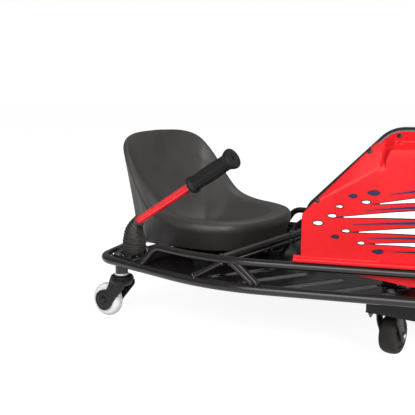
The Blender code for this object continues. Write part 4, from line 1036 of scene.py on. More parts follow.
def wheelSection(wheel):
    # One face, a tread that is nearly half an ellipse, and the other face
    face = wheel["half"]
    lip = mm(*wheel["lip"], lift=-face)
    bulge, steps, full = wheel["tread"]
    swings = [-pi / 2 + pi * k / steps for k in range(steps + 1)]
    tread = [(wheel["radius"] - bulge * (1 - cos(swing) ** full), face * sin(swing)) for swing in swings]
    return lip + tread + [(r, -z) for r, z in lip[::-1]]


def makeCaster(name, node, side):
    c = caster
    across = side * c["across"]
    foot = at(0, across, 0)
    low = c["crown"] + tubes["seatGap"]
    raceTop = low + c["raceTall"]
    mid = drift["at"]
    stem = [(c["stem"] - 0.0008, raceTop + 0.0042), (c["stem"], raceTop + 0.0050), (c["stem"], mid + c["stemTop"])]
    rear, front, wide, tall = c["ear"]
    place("casterMount" + name, [
        turned(c["clamp"], at(0, across, mid), aside, 44, closed=True), turned(stem, foot, up, 40),
        slab(at(rear, across - wide, mid - tall), at(front, across + wide, mid + tall), 0.0012),
    ], "powderCoat", "drift")
    along, apart, height = c["earBoltAt"]
    place("mountBolts" + name, [hexHead(at(along, across + hand * apart, mid + height), up, *c["earBolt"])
                                for hand in hands], "zincPlate", "drift")
    place("casterRing" + name, turned(mm(*c["ring"], lift=raceTop), foot, up, 44), "casterUrethane", "drift")
    place("casterRace" + name, turned(mm(*c["race"], lift=low), foot, up, 56), "glassNylon", "drift")

    # Fork: a domed crown over two arms that end in round covers
    body = "caster_fork_" + node[0]
    inner = c["half"] + c["gap"]
    outer = inner + c["sheet"]
    axle = at(-c["trail"], across, c["radius"])
    fork = [turned(mm(*c["dome"], lift=c["crown"]), foot, up, 56)]
    first, swing, steps = c["cover"]
    cover = [axle + upright(first + swing * k / steps, c["cap"]) for k in range(steps + 1)]
    rear, crown, front, rib = ([at(x, across, z) for x, z in c[key]]
                               for key in ("armRear", "armTop", "armFront", "rib"))
    outline = cover + smoothed([cover[-1], *rear], 6)[1:] + crown + smoothed([*front, cover[0]], 6)[:-1]
    rib = smoothed(rib, 6)
    for hand in hands:
        out = aside * hand
        fork.append(plate([p + out * inner for p in outline], out * c["sheet"], 0.0009))
        face = axle + out * (outer - 0.0002)
        for radius in c["coverRings"]:  # the turned rings on the round cover
            ring = [face + upright(angle, radius) for angle in turns(56)]
            fork.append(sweep(ring, c["coverRing"], 8, closed=True))
        fork.append(turned(c["button"], face, out, 36))
        fork.append(sweep([p + out * (outer - 0.0003) for p in rib], c["ribSize"], 8))  # stiffens the arm
    place("casterFork" + name, fork, "glassNylon", body)

    place("casterWheel" + name, turned(wheelSection(c), axle, aside, 72, closed=True), "casterUrethane",
          "caster_wheel_" + node[0])
    head = outer + c["pinOut"]
    pin = [rod(axle - aside * head, axle + aside * head, c["pin"], 24)]
    pin += [buttonHead(axle + aside * hand * (head - 0.0004), aside * hand, *c["pinHead"]) for hand in hands]
    place("casterAxle" + name, pin, "blackOxide", body, "black_plastic")


for side, name in ((-1, "Right"), (1, "Left")):
    makeCaster(name, name.lower(), side)
print("rear casters made")

# Fairing: a pressed shell round the nose, with its edge leaning in over a hoop

shell = {
    "foot": 0.440, "rear": 0.454, "top": 0.4432, "corner": 0.2855, "sheet": 0.003, "lean": tan(radians(22)),
    "seam": 0.790, "crease": (0.460, 0.297), "creaseRise": 0.63, "creaseLevel": 0.391, "creaseTop": 0.409,
    "creaseSoft": 0.0011, "step": (0.584, 0.606), "floor": 0.2033, "rows": 120, "rowsInside": 18, "inset": 0.014,
    "groove": [Vector(p) for p in ((0.5862, 0.374), (0.5865, 0.399), (0.5915, 0.4095), (0.603, 0.4130), (1.2, 0.4130))],
    "grooveHalf": 0.0052, "grooveDeep": 0.0036, "pocketFrom": 0.585, "pocketTop": 0.2270, "pocketDeep": 0.0013,
    "bolts": [(0.480, 0.3115), (0.564, 0.4015), (0.612, 0.4300), (0.700, 0.4300), (0.772, 0.4300)],
    "noseBolts": (0.0, 0.085), "noseBoltAt": 0.4300, "noseStation": 0.80, "edgeLow": 0.2065,
    "hoop": 0.008, "hoopDrop": 0.0056, "hoopLeg": 0.466, "hoopTilt": radians(28),
}


def edgeOutline(shift=0.0):
    s = shell
    rear = s["rear"] - shift
    corners = [((rear, 0.24), 0), ((rear, s["corner"] + shift * 0.62), 0.012 + shift),
               ((0.598 - shift * 0.45, s["top"] + shift), 0.055 + shift), ((0.700, s["top"] + shift), 0)]
    return filleted([(Vector((x, 0, z)), radius) for (x, z), radius in corners], step=radians(3))


shellEdge = edgeOutline()


def edgeHeight(station):
    if station < shell["rear"]:
        return shell["edgeLow"]
    for a, b in zip(shellEdge, shellEdge[1:]):
        if a.x <= station <= b.x and b.x - a.x > 1e-7:
            return a.z + (b.z - a.z) * (station - a.x) / (b.x - a.x)
    return shell["top"]


def creaseLine(station):
    return min(shell["crease"][1] + shell["creaseRise"] * (station - shell["crease"][0]), shell["creaseLevel"])


def creaseAt(station):
    low, high = shell["step"]
    return creaseLine(station) + softStep((station - low) / (high - low)) * (shell["creaseTop"] - creaseLine(station))


def wallOut(height):
    # The wall swells out to a soft line a third of the way up and leans back in above it
    return 0.002 + 0.0025 * softStep((height - shell["floor"]) / 0.065) - 0.045 * max(0, height - 0.272)


def shellOut(station, height):
    # How far the shell's face stands out from the rail's inset line
    s = shell
    out = wallOut(height)
    top = edgeHeight(station)
    crease = creaseAt(station)
    if top - crease > 0.002:
        lean = max(0, top - creaseLine(station)) * s["lean"]
        band = wallOut(crease) - lean * (height - crease) / (top - crease)
        soft = s["creaseSoft"]
        share = min(1, max(0, 0.5 + 0.5 * (band - out) / soft))
        out = band * (1 - share) + out * share - soft * share * (1 - share)
    if station > 0.575 and height > 0.36:
        spot = Vector((station, height))
        near = min(nearest(spot, a, b) for a, b in zip(s["groove"], s["groove"][1:]))
        fade = softStep((height - 0.366) / 0.020)
        out -= s["grooveDeep"] * fade * softStep(0.5 + (s["grooveHalf"] - near) / 0.0022)
    pocket = softStep((station - s["pocketFrom"]) / 0.003) * softStep((s["pocketTop"] - height) / 0.003)
    return out - s["pocketDeep"] * pocket


def shellPoint(point, outward, out, height):
    spot = point - outward * (shell["inset"] - out)
    return at(spot.x, spot.y, height)


def shellRing(point, outward, station):
    s = shell
    top = max(edgeHeight(station), s["edgeLow"])
    skirt = min(tubes["upperAt"] + 0.003, max(0.158, 0.186 - 0.17 * (station - 0.478)))
    seatAt = tubes["upperAt"] + tubes["upper"] + tubes["seatGap"]
    inner = -tubes["upper"] - 0.0015
    sheet = s["sheet"]
    first = s["floor"] + 0.0006
    lip = 0.0007
    ring = [(inner, skirt), (inner, (skirt + seatAt) / 2), (inner, seatAt - 0.0004), (inner + 0.001, seatAt)]
    ring += mm((4.8, 0), (6, 1.4), (6, 5.4), (5, 7.6), (3.2, 9), lift=seatAt)
    for k in range(s["rows"]):
        height = first + (top - lip - first) * k / (s["rows"] - 1)
        ring.append((shellOut(station, height), height))
    edge = ring[-1][0]
    ring += [(edge - sheet * 0.25, top), (edge - sheet * 0.75, top), (edge - sheet, top - lip)]
    for k in range(s["rowsInside"]):
        height = top - lip - (top - lip - first) * (k + 1) / s["rowsInside"]
        ring.append((shellOut(station, height) - sheet, height))
    ring += [(0.0030, seatAt + sheet + 0.0018), (inner - sheet * 0.4, seatAt + sheet), (inner - sheet, seatAt),
             (inner - sheet, skirt)]
    return [shellPoint(point, outward, out, height) for out, height in ring]


def noseRun():
    # Points and outward normals from the seam to the middle of the nose
    start = shell["seam"] + 0.0008
    run = []
    for a, b, m, n in zip(rail, rail[1:], railNormals, railNormals[1:]):
        if b.x < start or a.y < -1e-6:
            continue
        steps = max(1, round((b - a).length / 0.005))
        for k in range(steps):
            spot = a.lerp(b, k / steps)
            if spot.x > shell["seam"] + 0.004:
                run.append((spot, m.lerp(n, k / steps).normalized()))
    return [onRail(start)] + run + [(rail[-1], railNormals[-1])]


def makeShell():
    s = shell
    stations = [s["foot"] + k * 0.0035 for k in range(4)] + [s["rear"] - 0.0006, s["rear"], s["seam"]]
    stations += [p.x for p in shellEdge if s["rear"] + 0.0004 < p.x < 0.5 or 0.56 < p.x < 0.64]
    stations += [0.4565 + 0.002 * k for k in range(168) if 0.4565 + 0.002 * k < s["seam"] - 0.002]
    stations.sort()
    kept = [stations[0]]
    for station in stations[1:]:
        if station - kept[-1] > 0.0005:
            kept.append(station)
    left = loft([shellRing(*onRail(station), station) for station in kept])
    right = mirrored(left)
    half = [shellRing(point, outward, s["noseStation"]) for point, outward in noseRun()]
    nose = loft(half + [flipped(ring) for ring in half[-2::-1]])
    for name, mesh in (("Left", left), ("Right", right), ("Nose", nose)):
        place("fairing" + name, mesh, "fairingAbs", sharp=50)


def shellBolt(point, outward, station, height):
    # A black screw, square to the face under it
    spot, above = (shellPoint(point, outward, shellOut(station, z), z) for z in (height, height + 0.002))
    face = Vector((outward.y, -outward.x, 0)).cross(above - spot).normalized()
    if face.dot(outward) < 0:
        face = -face
    return buttonHead(spot - face * 0.0004, face, 0.0047, 0.0030)


def makeShellBolts():
    s = shell
    parts = []
    for station, height in s["bolts"]:
        mesh = shellBolt(*onRail(station), station, height)
        parts += [mirrored(mesh), mesh]
    run = noseRun()
    for across in s["noseBolts"]:
        point, outward = min(run, key=lambda pair: abs(pair[0].y - across) + (0 if pair[0].x > 0.86 else 1))
        mesh = shellBolt(point, outward, s["noseStation"], s["noseBoltAt"])
        parts += [mesh] if across == 0 else [mirrored(mesh), mesh]
    place("fairingScrews", parts, "blackOxide")


def hoopInset(station, height):
    s = shell
    clear = (s["hoop"] + tubes["seatGap"]) / cos(s["hoopTilt"]) + s["sheet"] - 0.004
    return s["inset"] + clear + max(0, height - creaseLine(station)) * s["lean"]


def hoopRoute():
    s = shell
    edge = [p for p in edgeOutline(-s["hoopDrop"]) if p.z > 0.31]
    line = (edge[1] - edge[0]).normalized()
    bend = edge[0] + line * (s["hoopLeg"] - edge[0].x) / line.x
    leg = beside(s["hoopLeg"], hoopInset(s["hoopLeg"], 0), tubes["upperAt"] + tubes["upper"] * 0.4)
    corner = beside(s["hoopLeg"], hoopInset(s["hoopLeg"], bend.z), bend.z)
    side = [beside(p.x, hoopInset(p.x, p.z), p.z) for p in edge]
    route = filleted([(leg, 0), (corner, 0.03), (side[0], 0)]) + side[1:]
    height = s["top"] - s["hoopDrop"]
    for point, outward in zip(rail, railNormals):
        if point.x > edge[-1].x + 0.01 and point.y > 1e-4:
            moved = point - outward * hoopInset(point.x, height)
            route.append(at(moved.x, moved.y, height))
    tip = at(rail[-1].x - hoopInset(rail[-1].x, height), 0, height)
    return route + [tip] + flipped(route[::-1])


makeShell()
makeShellBolts()
hoop = hoopRoute()
place("fairingHoop", [sweep(hoop, shell["hoop"], 24)] + [weldBead(hoop[k] + up * 0.0050, up, shell["hoop"] + 0.0004)
                                                         for k in (0, -1)], "powderCoat")
print("fairing and hoop made")

# Printed vinyl on both sides of the fairing: streaks that taper to the rear over a field of checks

decal = {
    "lift": 0.00022, "thick": 0.00016, "cut": 0.008, "front": 0.772, "outline": 0.0034, "bow": 0.004,
    # each streak: front height, tail's station and height, its height at both ends, and how far its ends slant
    "white": [
        (0.3265, 0.585, 0.3100, 0.0200, 0.0012, 0.010), (0.2960, 0.526, 0.2830, 0.0240, 0.0015, 0.012),
        (0.2635, 0.552, 0.2570, 0.0220, 0.0012, 0.010), (0.2345, 0.580, 0.2365, 0.0160, 0.0010, 0.006),
    ],
    "navy": [
        (0.3460, 0.600, 0.3270, 0.0130, 0.0010, 0.005), (0.3110, 0.560, 0.2965, 0.0100, 0.0010, 0.005),
        (0.2795, 0.540, 0.2700, 0.0100, 0.0010, 0.005), (0.2480, 0.566, 0.2465, 0.0090, 0.0010, 0.004),
        (0.2200, 0.610, 0.2235, 0.0110, 0.0010, 0.004),
    ],
    # each drop thrown off a tail: station, height, half its length and half its height
    "whiteDrops": [(0.506, 0.2845, 0.0075, 0.0036), (0.482, 0.2700, 0.0085, 0.0046), (0.530, 0.2580, 0.0065, 0.0032),
                   (0.562, 0.3120, 0.0070, 0.0032), (0.556, 0.2370, 0.0060, 0.0030), (0.518, 0.3020, 0.0055, 0.0026)],
    "navyDrops": [(0.574, 0.3290, 0.0090, 0.0042), (0.540, 0.3220, 0.0060, 0.0030), (0.584, 0.2225, 0.0080, 0.0036),
                  (0.512, 0.2460, 0.0055, 0.0026)],
    "checkAt": (0.655, 0.2470), "checkSize": 0.0105, "checkSkew": 0.42, "checkGrid": (9, 6), "checkShrink": 0.085,
    "checkLift": 0.018,
}


def laidStrip(low, high, lift):
    # A closed strip of film on the wall between two lines of (station, height) with as many points each
    rings = []
    for a, b in zip(low, high):
        line = [(a[0] + (b[0] - a[0]) * k / 6, a[1] + (b[1] - a[1]) * k / 6) for k in range(7)]
        ring = [(spot, lift + decal["thick"]) for spot in line] + [(spot, lift) for spot in line[::-1]]
        rings.append([shellPoint(*onRail(x), shellOut(x, z) + out, z) for (x, z), out in ring])
    return loft(rings)


def streakLines(streak, grow=0.0):
    # The lower and upper edge of one streak, from its blunt front to its tapered tail
    z, endX, endZ, tall, thin, slant = streak
    front = decal["front"]
    count = max(2, round(abs(front - endX) / decal["cut"]))
    low, high = [], []
    for k in range(count + 1):
        t = k / count
        half = (tall + (thin - tall) * t ** 1.15) / 2 + grow * (1 - t) ** 0.7
        x = front + (endX - front - grow * 4) * t
        along = (x - front) / (endX - front)
        middle = z + (endZ - z) * along + decal["bow"] * sin(pi * min(along, 1))
        low.append((x - slant * (1 - t) * 0.5, middle - half))
        high.append((x + slant * (1 - t) * 0.5, middle + half))
    return low, high


def dropLines(drop, grow=0.0):
    # The lower and upper edge of a drop that is blunt in front and drawn out behind
    x, z, long, tall = drop
    low, high = [], []
    for k in range(13):
        t = k / 12
        half = (tall + grow) * sin(pi * t) ** 0.6 * (0.55 + 0.45 * t)
        spot = x + (long + grow) * (2 * t - 1)
        low.append((spot, z - half))
        high.append((spot, z + half))
    return low, high


def makeDecals():
    d = decal
    # black lies lowest, as an outline, and again on top in the checks
    low, middle, top = (d["lift"] + k * d["thick"] for k in (0, 2, 4))
    black, white, navy = [], [], []
    for streak in d["white"]:
        black.append(laidStrip(*streakLines(streak, d["outline"]), low))
    for parts, kind in ((white, "white"), (navy, "navy")):
        parts += [laidStrip(*streakLines(streak), middle) for streak in d[kind]]
    for parts, kind in ((white, "whiteDrops"), (navy, "navyDrops")):
        for drop in d[kind]:
            black.append(laidStrip(*dropLines(drop, d["outline"] * 0.7), low))
            parts.append(laidStrip(*dropLines(drop), middle))
    columns, rows = d["checkGrid"]
    x0, z0 = d["checkAt"]
    skew = d["checkSkew"]
    for k in range(columns):
        half = d["checkSize"] * (1 - d["checkShrink"] * (columns - 1 - k)) / 2
        for j in range(k % 2, rows, 2):
            z = z0 + (j - (rows - 1) / 2) * d["checkSize"] + d["checkLift"]
            x = x0 + k * d["checkSize"] + (z - z0) * skew
            lines = [[(x + way * half + lean * half * skew, z + lean * half) for way in (-1, 1)] for lean in (-1, 1)]
            black.append(laidStrip(*lines, top))
    for name, parts in (("black", black), ("white", white), ("navy", navy)):
        one = joined(parts)
        place(name + "PrintLeft", one.copy(), "vinyl" + name.title())
        place(name + "PrintRight", mirrored(one), "vinyl" + name.title())


makeDecals()
print("fairing print laid")

# Front anti-tip casters: a folded hood under the deck, a nylon fork and a small rubber wheel

tip = {
    "at": 0.584, "across": 0.160, "trail": 0.020, "radius": 0.038, "half": 0.0165, "axle": 0.045, "low": 0.096,
    "rear": -0.0345, "front": 0.071, "outer": 0.035, "sheet": 0.003, "fork": 0.0032, "bend": 0.0055, "foot": 0.0125,
    "crown": ((10, -13.8), (20.5, -12.2), (22.5, -10.2), (24, -8), (24.2, -3), (23.6, -1.8), (19, -1), (18, 0)),
    "button": mm((9.5, 0), (9.2, 0.8), (8, 1.2), (6.2, 1.3)),
    "lip": ((5.2, 0.6), (11, 0.6), (12, 2.4), (24, 2.4), (25.2, 0.6), (27, 0)), "tread": (0.0075, 10, 0.7),
    # one arm seen from the front: how far out from the middle, how high or how far under the crown
    "arm": 0.0145, "armShoulder": (0.014, 0.006), "armWaist": (0.013, 0.078), "gap": 0.0018, "pin": 0.0038,
    "pinHead": (0.0092, 0.0024), "pinOut": 0.0009, "rearLip": (0.013, -0.0004, 0.0024),
    "kingBolt": (0.013, 0.0060, 0.0105), "lipNut": (0.0085, 0.0046, 0.0045), "lipNutAt": (0.0065, 0.026, -0.0006),
    "deckScrew": (0.0048, 0.0026), "deckNut": (0.007, 0.0036, 0.004),
    "deckScrews": ((-0.022, -0.026), (-0.022, 0.026), (0.058, -0.026), (0.058, 0.026)),
}


def makeTipCaster(name, node, side):
    t = tip
    across = side * t["across"]
    top, low = underDeck, t["low"]
    rear, front = t["at"] + t["rear"], t["at"] + t["front"]
    sheet, bend = t["sheet"], t["bend"]
    # The folded sheet in section: rear face, roof and its two side flaps
    line = filleted([(at(rear, across, low), 0), (at(rear, across, top), bend), (at(front, across, top), 0)],
                    step=radians(12))
    hood = [folded(line, [t["outer"] - sheet * 0.4] * len(line), sheet)]
    flap = ((rear + 0.0004, low + 0.004), (rear + 0.0020, low + 0.0010), (rear + 0.0050, low), (front - 0.012, low),
            (front - 0.003, low + 0.003), (front, low + 0.010), (front, top - 0.0004), (rear + bend, top - 0.0004),
            (rear + bend * 0.3, top - bend * 0.35), (rear + 0.0004, top - bend))
    for hand in hands:
        y = across + hand * t["outer"]
        hood.append(plate([at(x, y, z) for x, z in flap], -hand * sheet * aside, 0.0006))
    # Its rear face ends in a small folded lip with a nut under each corner
    long, under, over = t["rearLip"]
    hood.append(slab(at(rear, across - t["outer"], low + under), at(rear + long, across + t["outer"], low + over),
                     0.0006))
    place("tipHood" + name, hood, "shadedPowderSheet")

    axis = at(t["at"], across, 0)
    crown = top - sheet - tubes["seatGap"]
    body = "tip_fork_" + node[0]
    # A king bolt through the roof and four small bolts that hold the hood to the deck
    deck = up * (pan["top"] + 0.0002)
    along, apart, height = t["lipNutAt"]
    heads = [hexHead(axis + deck, up, *t["kingBolt"])]
    heads += [nut(at(rear + along, across + left, low + height), -up, *t["lipNut"]) for left in (-apart, apart)]
    for along, left in t["deckScrews"]:
        spot = at(t["at"] + along, across + left, 0)
        heads += [buttonHead(spot + deck, up, *t["deckScrew"]),
                  nut(spot + up * (top - sheet - 0.0001), -up, *t["deckNut"])]
    place("tipBolts" + name, heads, "blackOxide")

    inner = t["half"] + t["gap"]
    fork = [turned(mm(*t["crown"], lift=crown), axis, up, 48)]
    wheelAt = at(t["at"], across - side * t["trail"], t["axle"])
    foot = [(wheelAt.y + p.x, t["axle"] + p.z) for p in (upright(pi + pi * k / 18, t["foot"]) for k in range(19))]
    shoulders = [crown - drop for drop in t["armShoulder"]]
    waist, waistAt = t["armWaist"]
    lead = [foot[-1], (across + t["foot"], waistAt), *[(across + t["arm"], z) for z in shoulders]]
    tail = [*[(across - t["arm"], z) for z in shoulders[::-1]], (across - waist, waistAt), foot[0]]
    for hand in hands:
        out = ahead * hand
        foots, leads, tails = ([Vector((axis.x + hand * inner, y, z)) for y, z in line] for line in (foot, lead, tail))
        fork.append(plate(foots + smoothed(leads, 5)[1:] + smoothed(tails, 5)[:-1], out * t["fork"], 0.0008))
        fork.append(turned(t["button"], wheelAt + out * (inner + t["fork"] - 0.0002), out, 32))
    place("tipFork" + name, fork, "glassNylon", body)
    axle = ahead * (inner + t["fork"] + t["pinOut"])
    place("tipAxle" + name, [rod(wheelAt - axle, wheelAt + axle, t["pin"], 20)] +
          [hexHead(wheelAt + axle * hand, ahead * hand, *t["pinHead"]) for hand in hands], "zincPlate", body)
    place("tipWheel" + name, turned(wheelSection(t), wheelAt, ahead, 64, closed=True), "tyreRubber",
          "tip_wheel_" + node[0])


for side, name in ((-1, "Right"), (1, "Left")):
    makeTipCaster(name, name.lower(), side)
print("anti-tip casters made")

# Steering: head tube, bearing plate, column and wheel; the turret it turns is made with the drive unit

steer = {
    "at": 0.780, "column": 0.014, "top": 0.545, "rim": 0.140, "tube": 0.0124, "height": 0.562, "oval": 0.96,
    "turret": 0.173, "sheet": 0.005, "fork": 0.038, "headRadius": 0.020, "spokes": 3, "hubOut": 0.024,
    "head": ((19, -22), (20, -21), (20, 21), (19, 22)), "bore": 14.4,
    "bush": ((21.2, 0), (21.2, 2.2), (20, 3)), "bushTall": 3.2,
    "arm": 0.0070, "armWelds": (-0.0085, 0.0076, 0.0078),
    "plate": (0.012, 0.060, 0.1993), "plateBolt": (0.010, 0.005, 0.0078), "plateBoltAt": (0.047, 0.1995),
    "bossScrew": (0.0036, 0.0024), "bossScrewsAt": 0.0285,
    "boss": ((25.5, 199.6), (23.5, 202), (23, 210.3), (22, 211.3)),
    "foot": ((33, 0), (34, 0.8), (34, 4), (33, 5), (20.5, 6.2), (18, 8), (15.5, 10), (14, 12)),
    "hub": mm((14.3, -20), (25, -20), (26.2, -19), (29, -11), (32, -6), (32.2, 3.2), (31.4, 4), (10, 4), (10, 0.3),
              (14.3, 0.3), lift=0.545),
    # half the spoke's section: how far in from its side, and how high
    "spoke": mm((0.8, -4.4), (0, -3.6), (0, -0.8), (0.8, 0), (3, 0.4), (4.5, -0.4)),
    "holes": ((0.30, 0.0055), (0.50, 0.0046), (0.68, 0.0038)),
    "cap": ((29.6, 0), (30.2, 0.6), (30.2, 3.6), (29.2, 6), (27.2, 8.4), (24, 10.8), (19.5, 12.4), (15, 13),
            (14.4, 12.2), (12, 12.2), (11.4, 13.2), (6, 13.9), (1.5, 14)),
}


def makeHead(axis):
    s = steer
    height = shell["top"] - shell["hoopDrop"]
    reach = next(a.lerp(b, (axis.x - a.x) / (b.x - a.x)).y for a, b in zip(hoop, hoop[1:]) if b.x > axis.x)
    outer = s["headRadius"]
    middle = axis + up * height
    head = [rod(middle - aside * reach, middle + aside * reach, s["arm"], 28),
            turned(mm((s["bore"], -22), *s["head"], (s["bore"], 22)), middle, up, 48, closed=True)]
    back, tipWeld, headWeld = s["armWelds"]
    for side in hands:
        head += [weldBead(middle + aside * side * (reach + back), aside, tipWeld),
                 weldBead(middle + aside * side * (outer - 0.001), aside, headWeld)]
    place("steeringHead", head, "powderCoat")
    bush = mm((s["bore"], 0), *s["bush"], (s["bore"], s["bushTall"]))
    place("headBushes", [turned(bush, axis + up * (height + side * 0.022), up * side, 44, closed=True)
                         for side in hands], "glassNylon")

    low = tubes["upperAt"] + tubes["upper"] + tubes["seatGap"]
    rear, front = tubes["noseTubes"]
    margin, half, top = s["plate"]
    flat = slab(at(rear - margin, -half, low), at(front + margin, half, top), 0.0012)
    bore = s["bore"] / 1000
    foot = [(bore, low - 0.0002), (0.0255, low - 0.0002)]
    boss = turned(foot + mm(*s["boss"]) + [(bore, 0.2113)], axis, up, 48, closed=True)
    place("bearingPlate", [flat, boss], "powderCoat")
    apart, over = s["plateBoltAt"]
    bolts = [hexHead(at(station, side * apart, over), up, *s["plateBolt"])
             for station in (rear, front) for side in hands]
    bolts += [buttonHead(axis + level(angle, s["bossScrewsAt"]) + up * over, up, *s["bossScrew"])
              for angle in turns(4, 0.5)]
    place("plateBolts", bolts, "zincPlate")


def makeSteering():
    s = steer
    axis = at(s["at"], 0, 0)
    makeHead(axis)
    top, height, tube = s["top"], s["height"], s["tube"]

    # Column, its foot flange and the wheel
    column = mm(*s["foot"], lift=s["turret"] + tubes["seatGap"])
    column += [(s["column"], top - 0.0010), (s["column"] - 0.0010, top)]
    place("steeringColumn", turned(column, axis, up, 48), "turnedSteel", "steering")
    # The rim is oval in section, with finger bumps underneath and a seam where the cover is stitched
    rings = []
    for a in turns(96):
        ring = []
        for b in turns(28):
            r = tube - 0.0009 * max(0, -sin(b)) * (0.5 + 0.5 * cos(a * 24))
            ring.append(axis + level(a, s["rim"]) + up * height + r * (cos(b) * level(a) * s["oval"] + sin(b) * up))
        rings.append(ring)
    place("steeringRim", loft(rings, closed=True), "gripRubber", "steering", sharp=60)
    seam = []
    for a in turns(120, 0.5):  # stitches along the inside of the rim
        along = level(a + pi / 2, 0.0021) - up * 0.0011
        spot = axis + level(a, s["rim"] - tube * s["oval"]) + up * height
        seam.append(rod(spot - along, spot + along, 0.00045, 6))
    place("rimStitches", seam, "cablePvc", "steering", "rubber")

    spider = [turned(s["hub"], axis, up, 56, closed=True)]
    holes = []
    for angle in turns(s["spokes"], s["spokes"] / 2):
        out = level(angle)
        side = level(angle + pi / 2)
        rings = []
        for j in range(15):
            t = j / 14
            rise = top - 0.001 + (height - top) * softStep((t - 0.15) / 0.7)
            wide = 0.0145 - 0.0055 * t + 0.0045 * softStep((t - 0.86) / 0.14) + 0.004 * softStep((0.1 - t) / 0.1)
            centre = axis + out * (s["hubOut"] + (s["rim"] - 0.0050 - s["hubOut"]) * t) + up * rise
            right = [(wide - x, z) for x, z in s["spoke"]]
            left = [(-y, z) for y, z in right[::-1]]
            rings.append([centre + side * y + up * z for y, z in left[-2:] + right + left[:-2]])
        spider.append(loft(rings))
        for share, radius in s["holes"]:
            rise = top - 0.001 + (height - top) * softStep((share - 0.15) / 0.7)
            spot = axis + out * (s["hubOut"] + (s["rim"] - 0.0050 - s["hubOut"]) * share) + up * (rise - 0.009)
            holes.append(rod(spot, spot + up * 0.014, radius, 28))
    cut(place("steeringSpider", spider, "glassNylon", "steering"), joined(holes))
    capLow = top + 0.0043
    place("steeringCap", turned(mm(*s["cap"], lift=capLow), axis, up, 56), "glassNylon", "steering")
    place("capScrews", [buttonHead(axis + level(angle, 0.0262) + up * (capLow + 0.0082), level(angle, 0.45) + up * 0.9,
                                   0.0019, 0.0013) for angle in turns(6, 0.5)], "blackOxide", "steering")


makeSteering()
print("steering made")

# Drive unit: a turret fork with its wheel, a motor behind it and a roller chain between

drive = {
    "wheel": 0.070, "behind": 0.086, "motorAt": 0.132, "motor": 0.032, "chainAt": 0.030,
    "pitch": 0.0127, "teeth": 22, "pinionTeeth": 7, "roller": 0.0039, "fins": 13, "blocks": 36, "shaftHole": 0.0062,
    "blade": mm((18, 70), (20.5, 105), (27, 145), (34, 170)), "bladeThick": 0.004,
    "stitch": mm((0.5, -3), (2.8, -2.2), (3.4, 0), (2.8, 2.2), (0.5, 3)), "stitches": (-0.026, -0.009, 0.009, 0.026),
    # the turret's plate: a round front of this radius about a point ahead of the axis, and soft rear corners
    "plateRound": 0.043, "plateAhead": 0.030, "plateCorner": 0.006, "edge": 0.0007,
    "flangeBolt": (0.0064, 0.0032, 0.0050), "flangeBoltsAt": (0.0268, 0.0050), "motorBolt": (0.008, 0.0040, 0.0062),
    "motorBoltsAt": ((-0.014, 0.014), (-0.030, 0.006)), "wheelPin": 0.0060, "wheelNut": (0.0150, 0.0046, 0.0094),
    # corners from the motor's shaft, or from its rear for the terminal box
    "motorFoot": ((-0.022, -0.036, 0.020), (0.022, 0.012)),
    "terminalBox": ((-0.0085, -0.0240, -0.0125), (0.0060, 0.0040, 0.0125)),
    "bellScrew": (0.0030, 0.0020), "bellScrewsAt": (0.0210, ((-0.0428, -1), (0.0204, 1))),
    "boxScrew": (0.0020, 0.0013), "boxScrewsAt": ((-0.0205, 0.0005), (0.0092, -0.0092)),
    "glandAt": (-0.0015, -0.0100, 0.0125),
    # the motor's section along its shaft: rear bell, one of the fins, front bell
    "rearBell": ((6, -42.5), (20, -43), (25.5, -42.8), (29, -41.8), (30.8, -40), (30.8, -35.2), (31.4, -34.6),
                 (31.4, -33)),
    "frontBell": ((31.4, 10), (31.4, 11.5), (30.8, 12.2), (30.8, 17.5), (29, 20), (22, 20.8), (12.5, 21), (12, 20.2),
                  (7, 20.2)),
    "fin": ((29, 0), (29, 0.9), (32, 1.2), (32, 2.4), (29, 2.7)), "finned": (-0.0320, 0.0400),
    "gland": mm((7.2, 0), (7.2, 3), (6, 3.4), (6, 9), (4.8, 11), (3, 11.4)),
    "tread": evened(mm((48, -18), (49.5, -19.8), (52.5, -21.4), (57.5, -22), (61, -21.6), (64, -19.2), (65.5, -18),
                       (67.5, -15.8), (68.8, -13.5), (69.6, -10.8), (69.8, -9), (68, -8.2), (68, -7), (69.9, -6.2),
                       (70, -2))),
    # where the hub's bolts, holes and the sprocket's holes sit, and how large they are
    "rimHoles": (0.0268, 6, 0, -0.02, 0.02, 0.0068, 32), "sprocketHoles": (0.0265, 5, 0.25, 0, 0.06, 0.0068, 28),
    "sprocketBore": 0.0066, "sprocketBolt": (0.0026, 0.0014), "sprocketBoltsAt": 0.0185,
    "rim": ((13.2, -24), (14, -23.2), (15.2, -8), (17.2, -6), (37, -6), (39.5, -7.8), (41.8, -18), (42.8, -19),
            (47.7, -19), (47.7, 19), (42.8, 19), (41.8, 18), (39.5, 7.8), (37, 6), (17.2, 6), (15.2, 8), (14, 26.2),
            (13.2, 27)), "rimBore": 6.3,
}


def pitchRadius(teeth):
    return drive["pitch"] / (2 * sin(pi / teeth))


def toothed(centre, teeth, thick):
    # Each tooth rises between two seats for the chain's rollers
    seatAt = pitchRadius(teeth)
    r = drive["roller"] + 0.0002
    outer = seatAt + drive["pitch"] * 0.17
    half = 0.045 * 22 / teeth
    ring = []
    for k in range(teeth):
        first, middle = 2 * pi * k / teeth, 2 * pi * (k + 0.5) / teeth
        ring += [centre + upright(first - half, outer), centre + upright(first + half, outer)]
        for j in range(9):
            swing = radians(-62 + 15.5 * j)
            ring.append(centre + upright(middle, seatAt - r * cos(swing)) + upright(middle + pi / 2, r * sin(swing)))
    return prism([p + aside * (drive["chainAt"] - thick / 2) for p in ring], aside * thick)


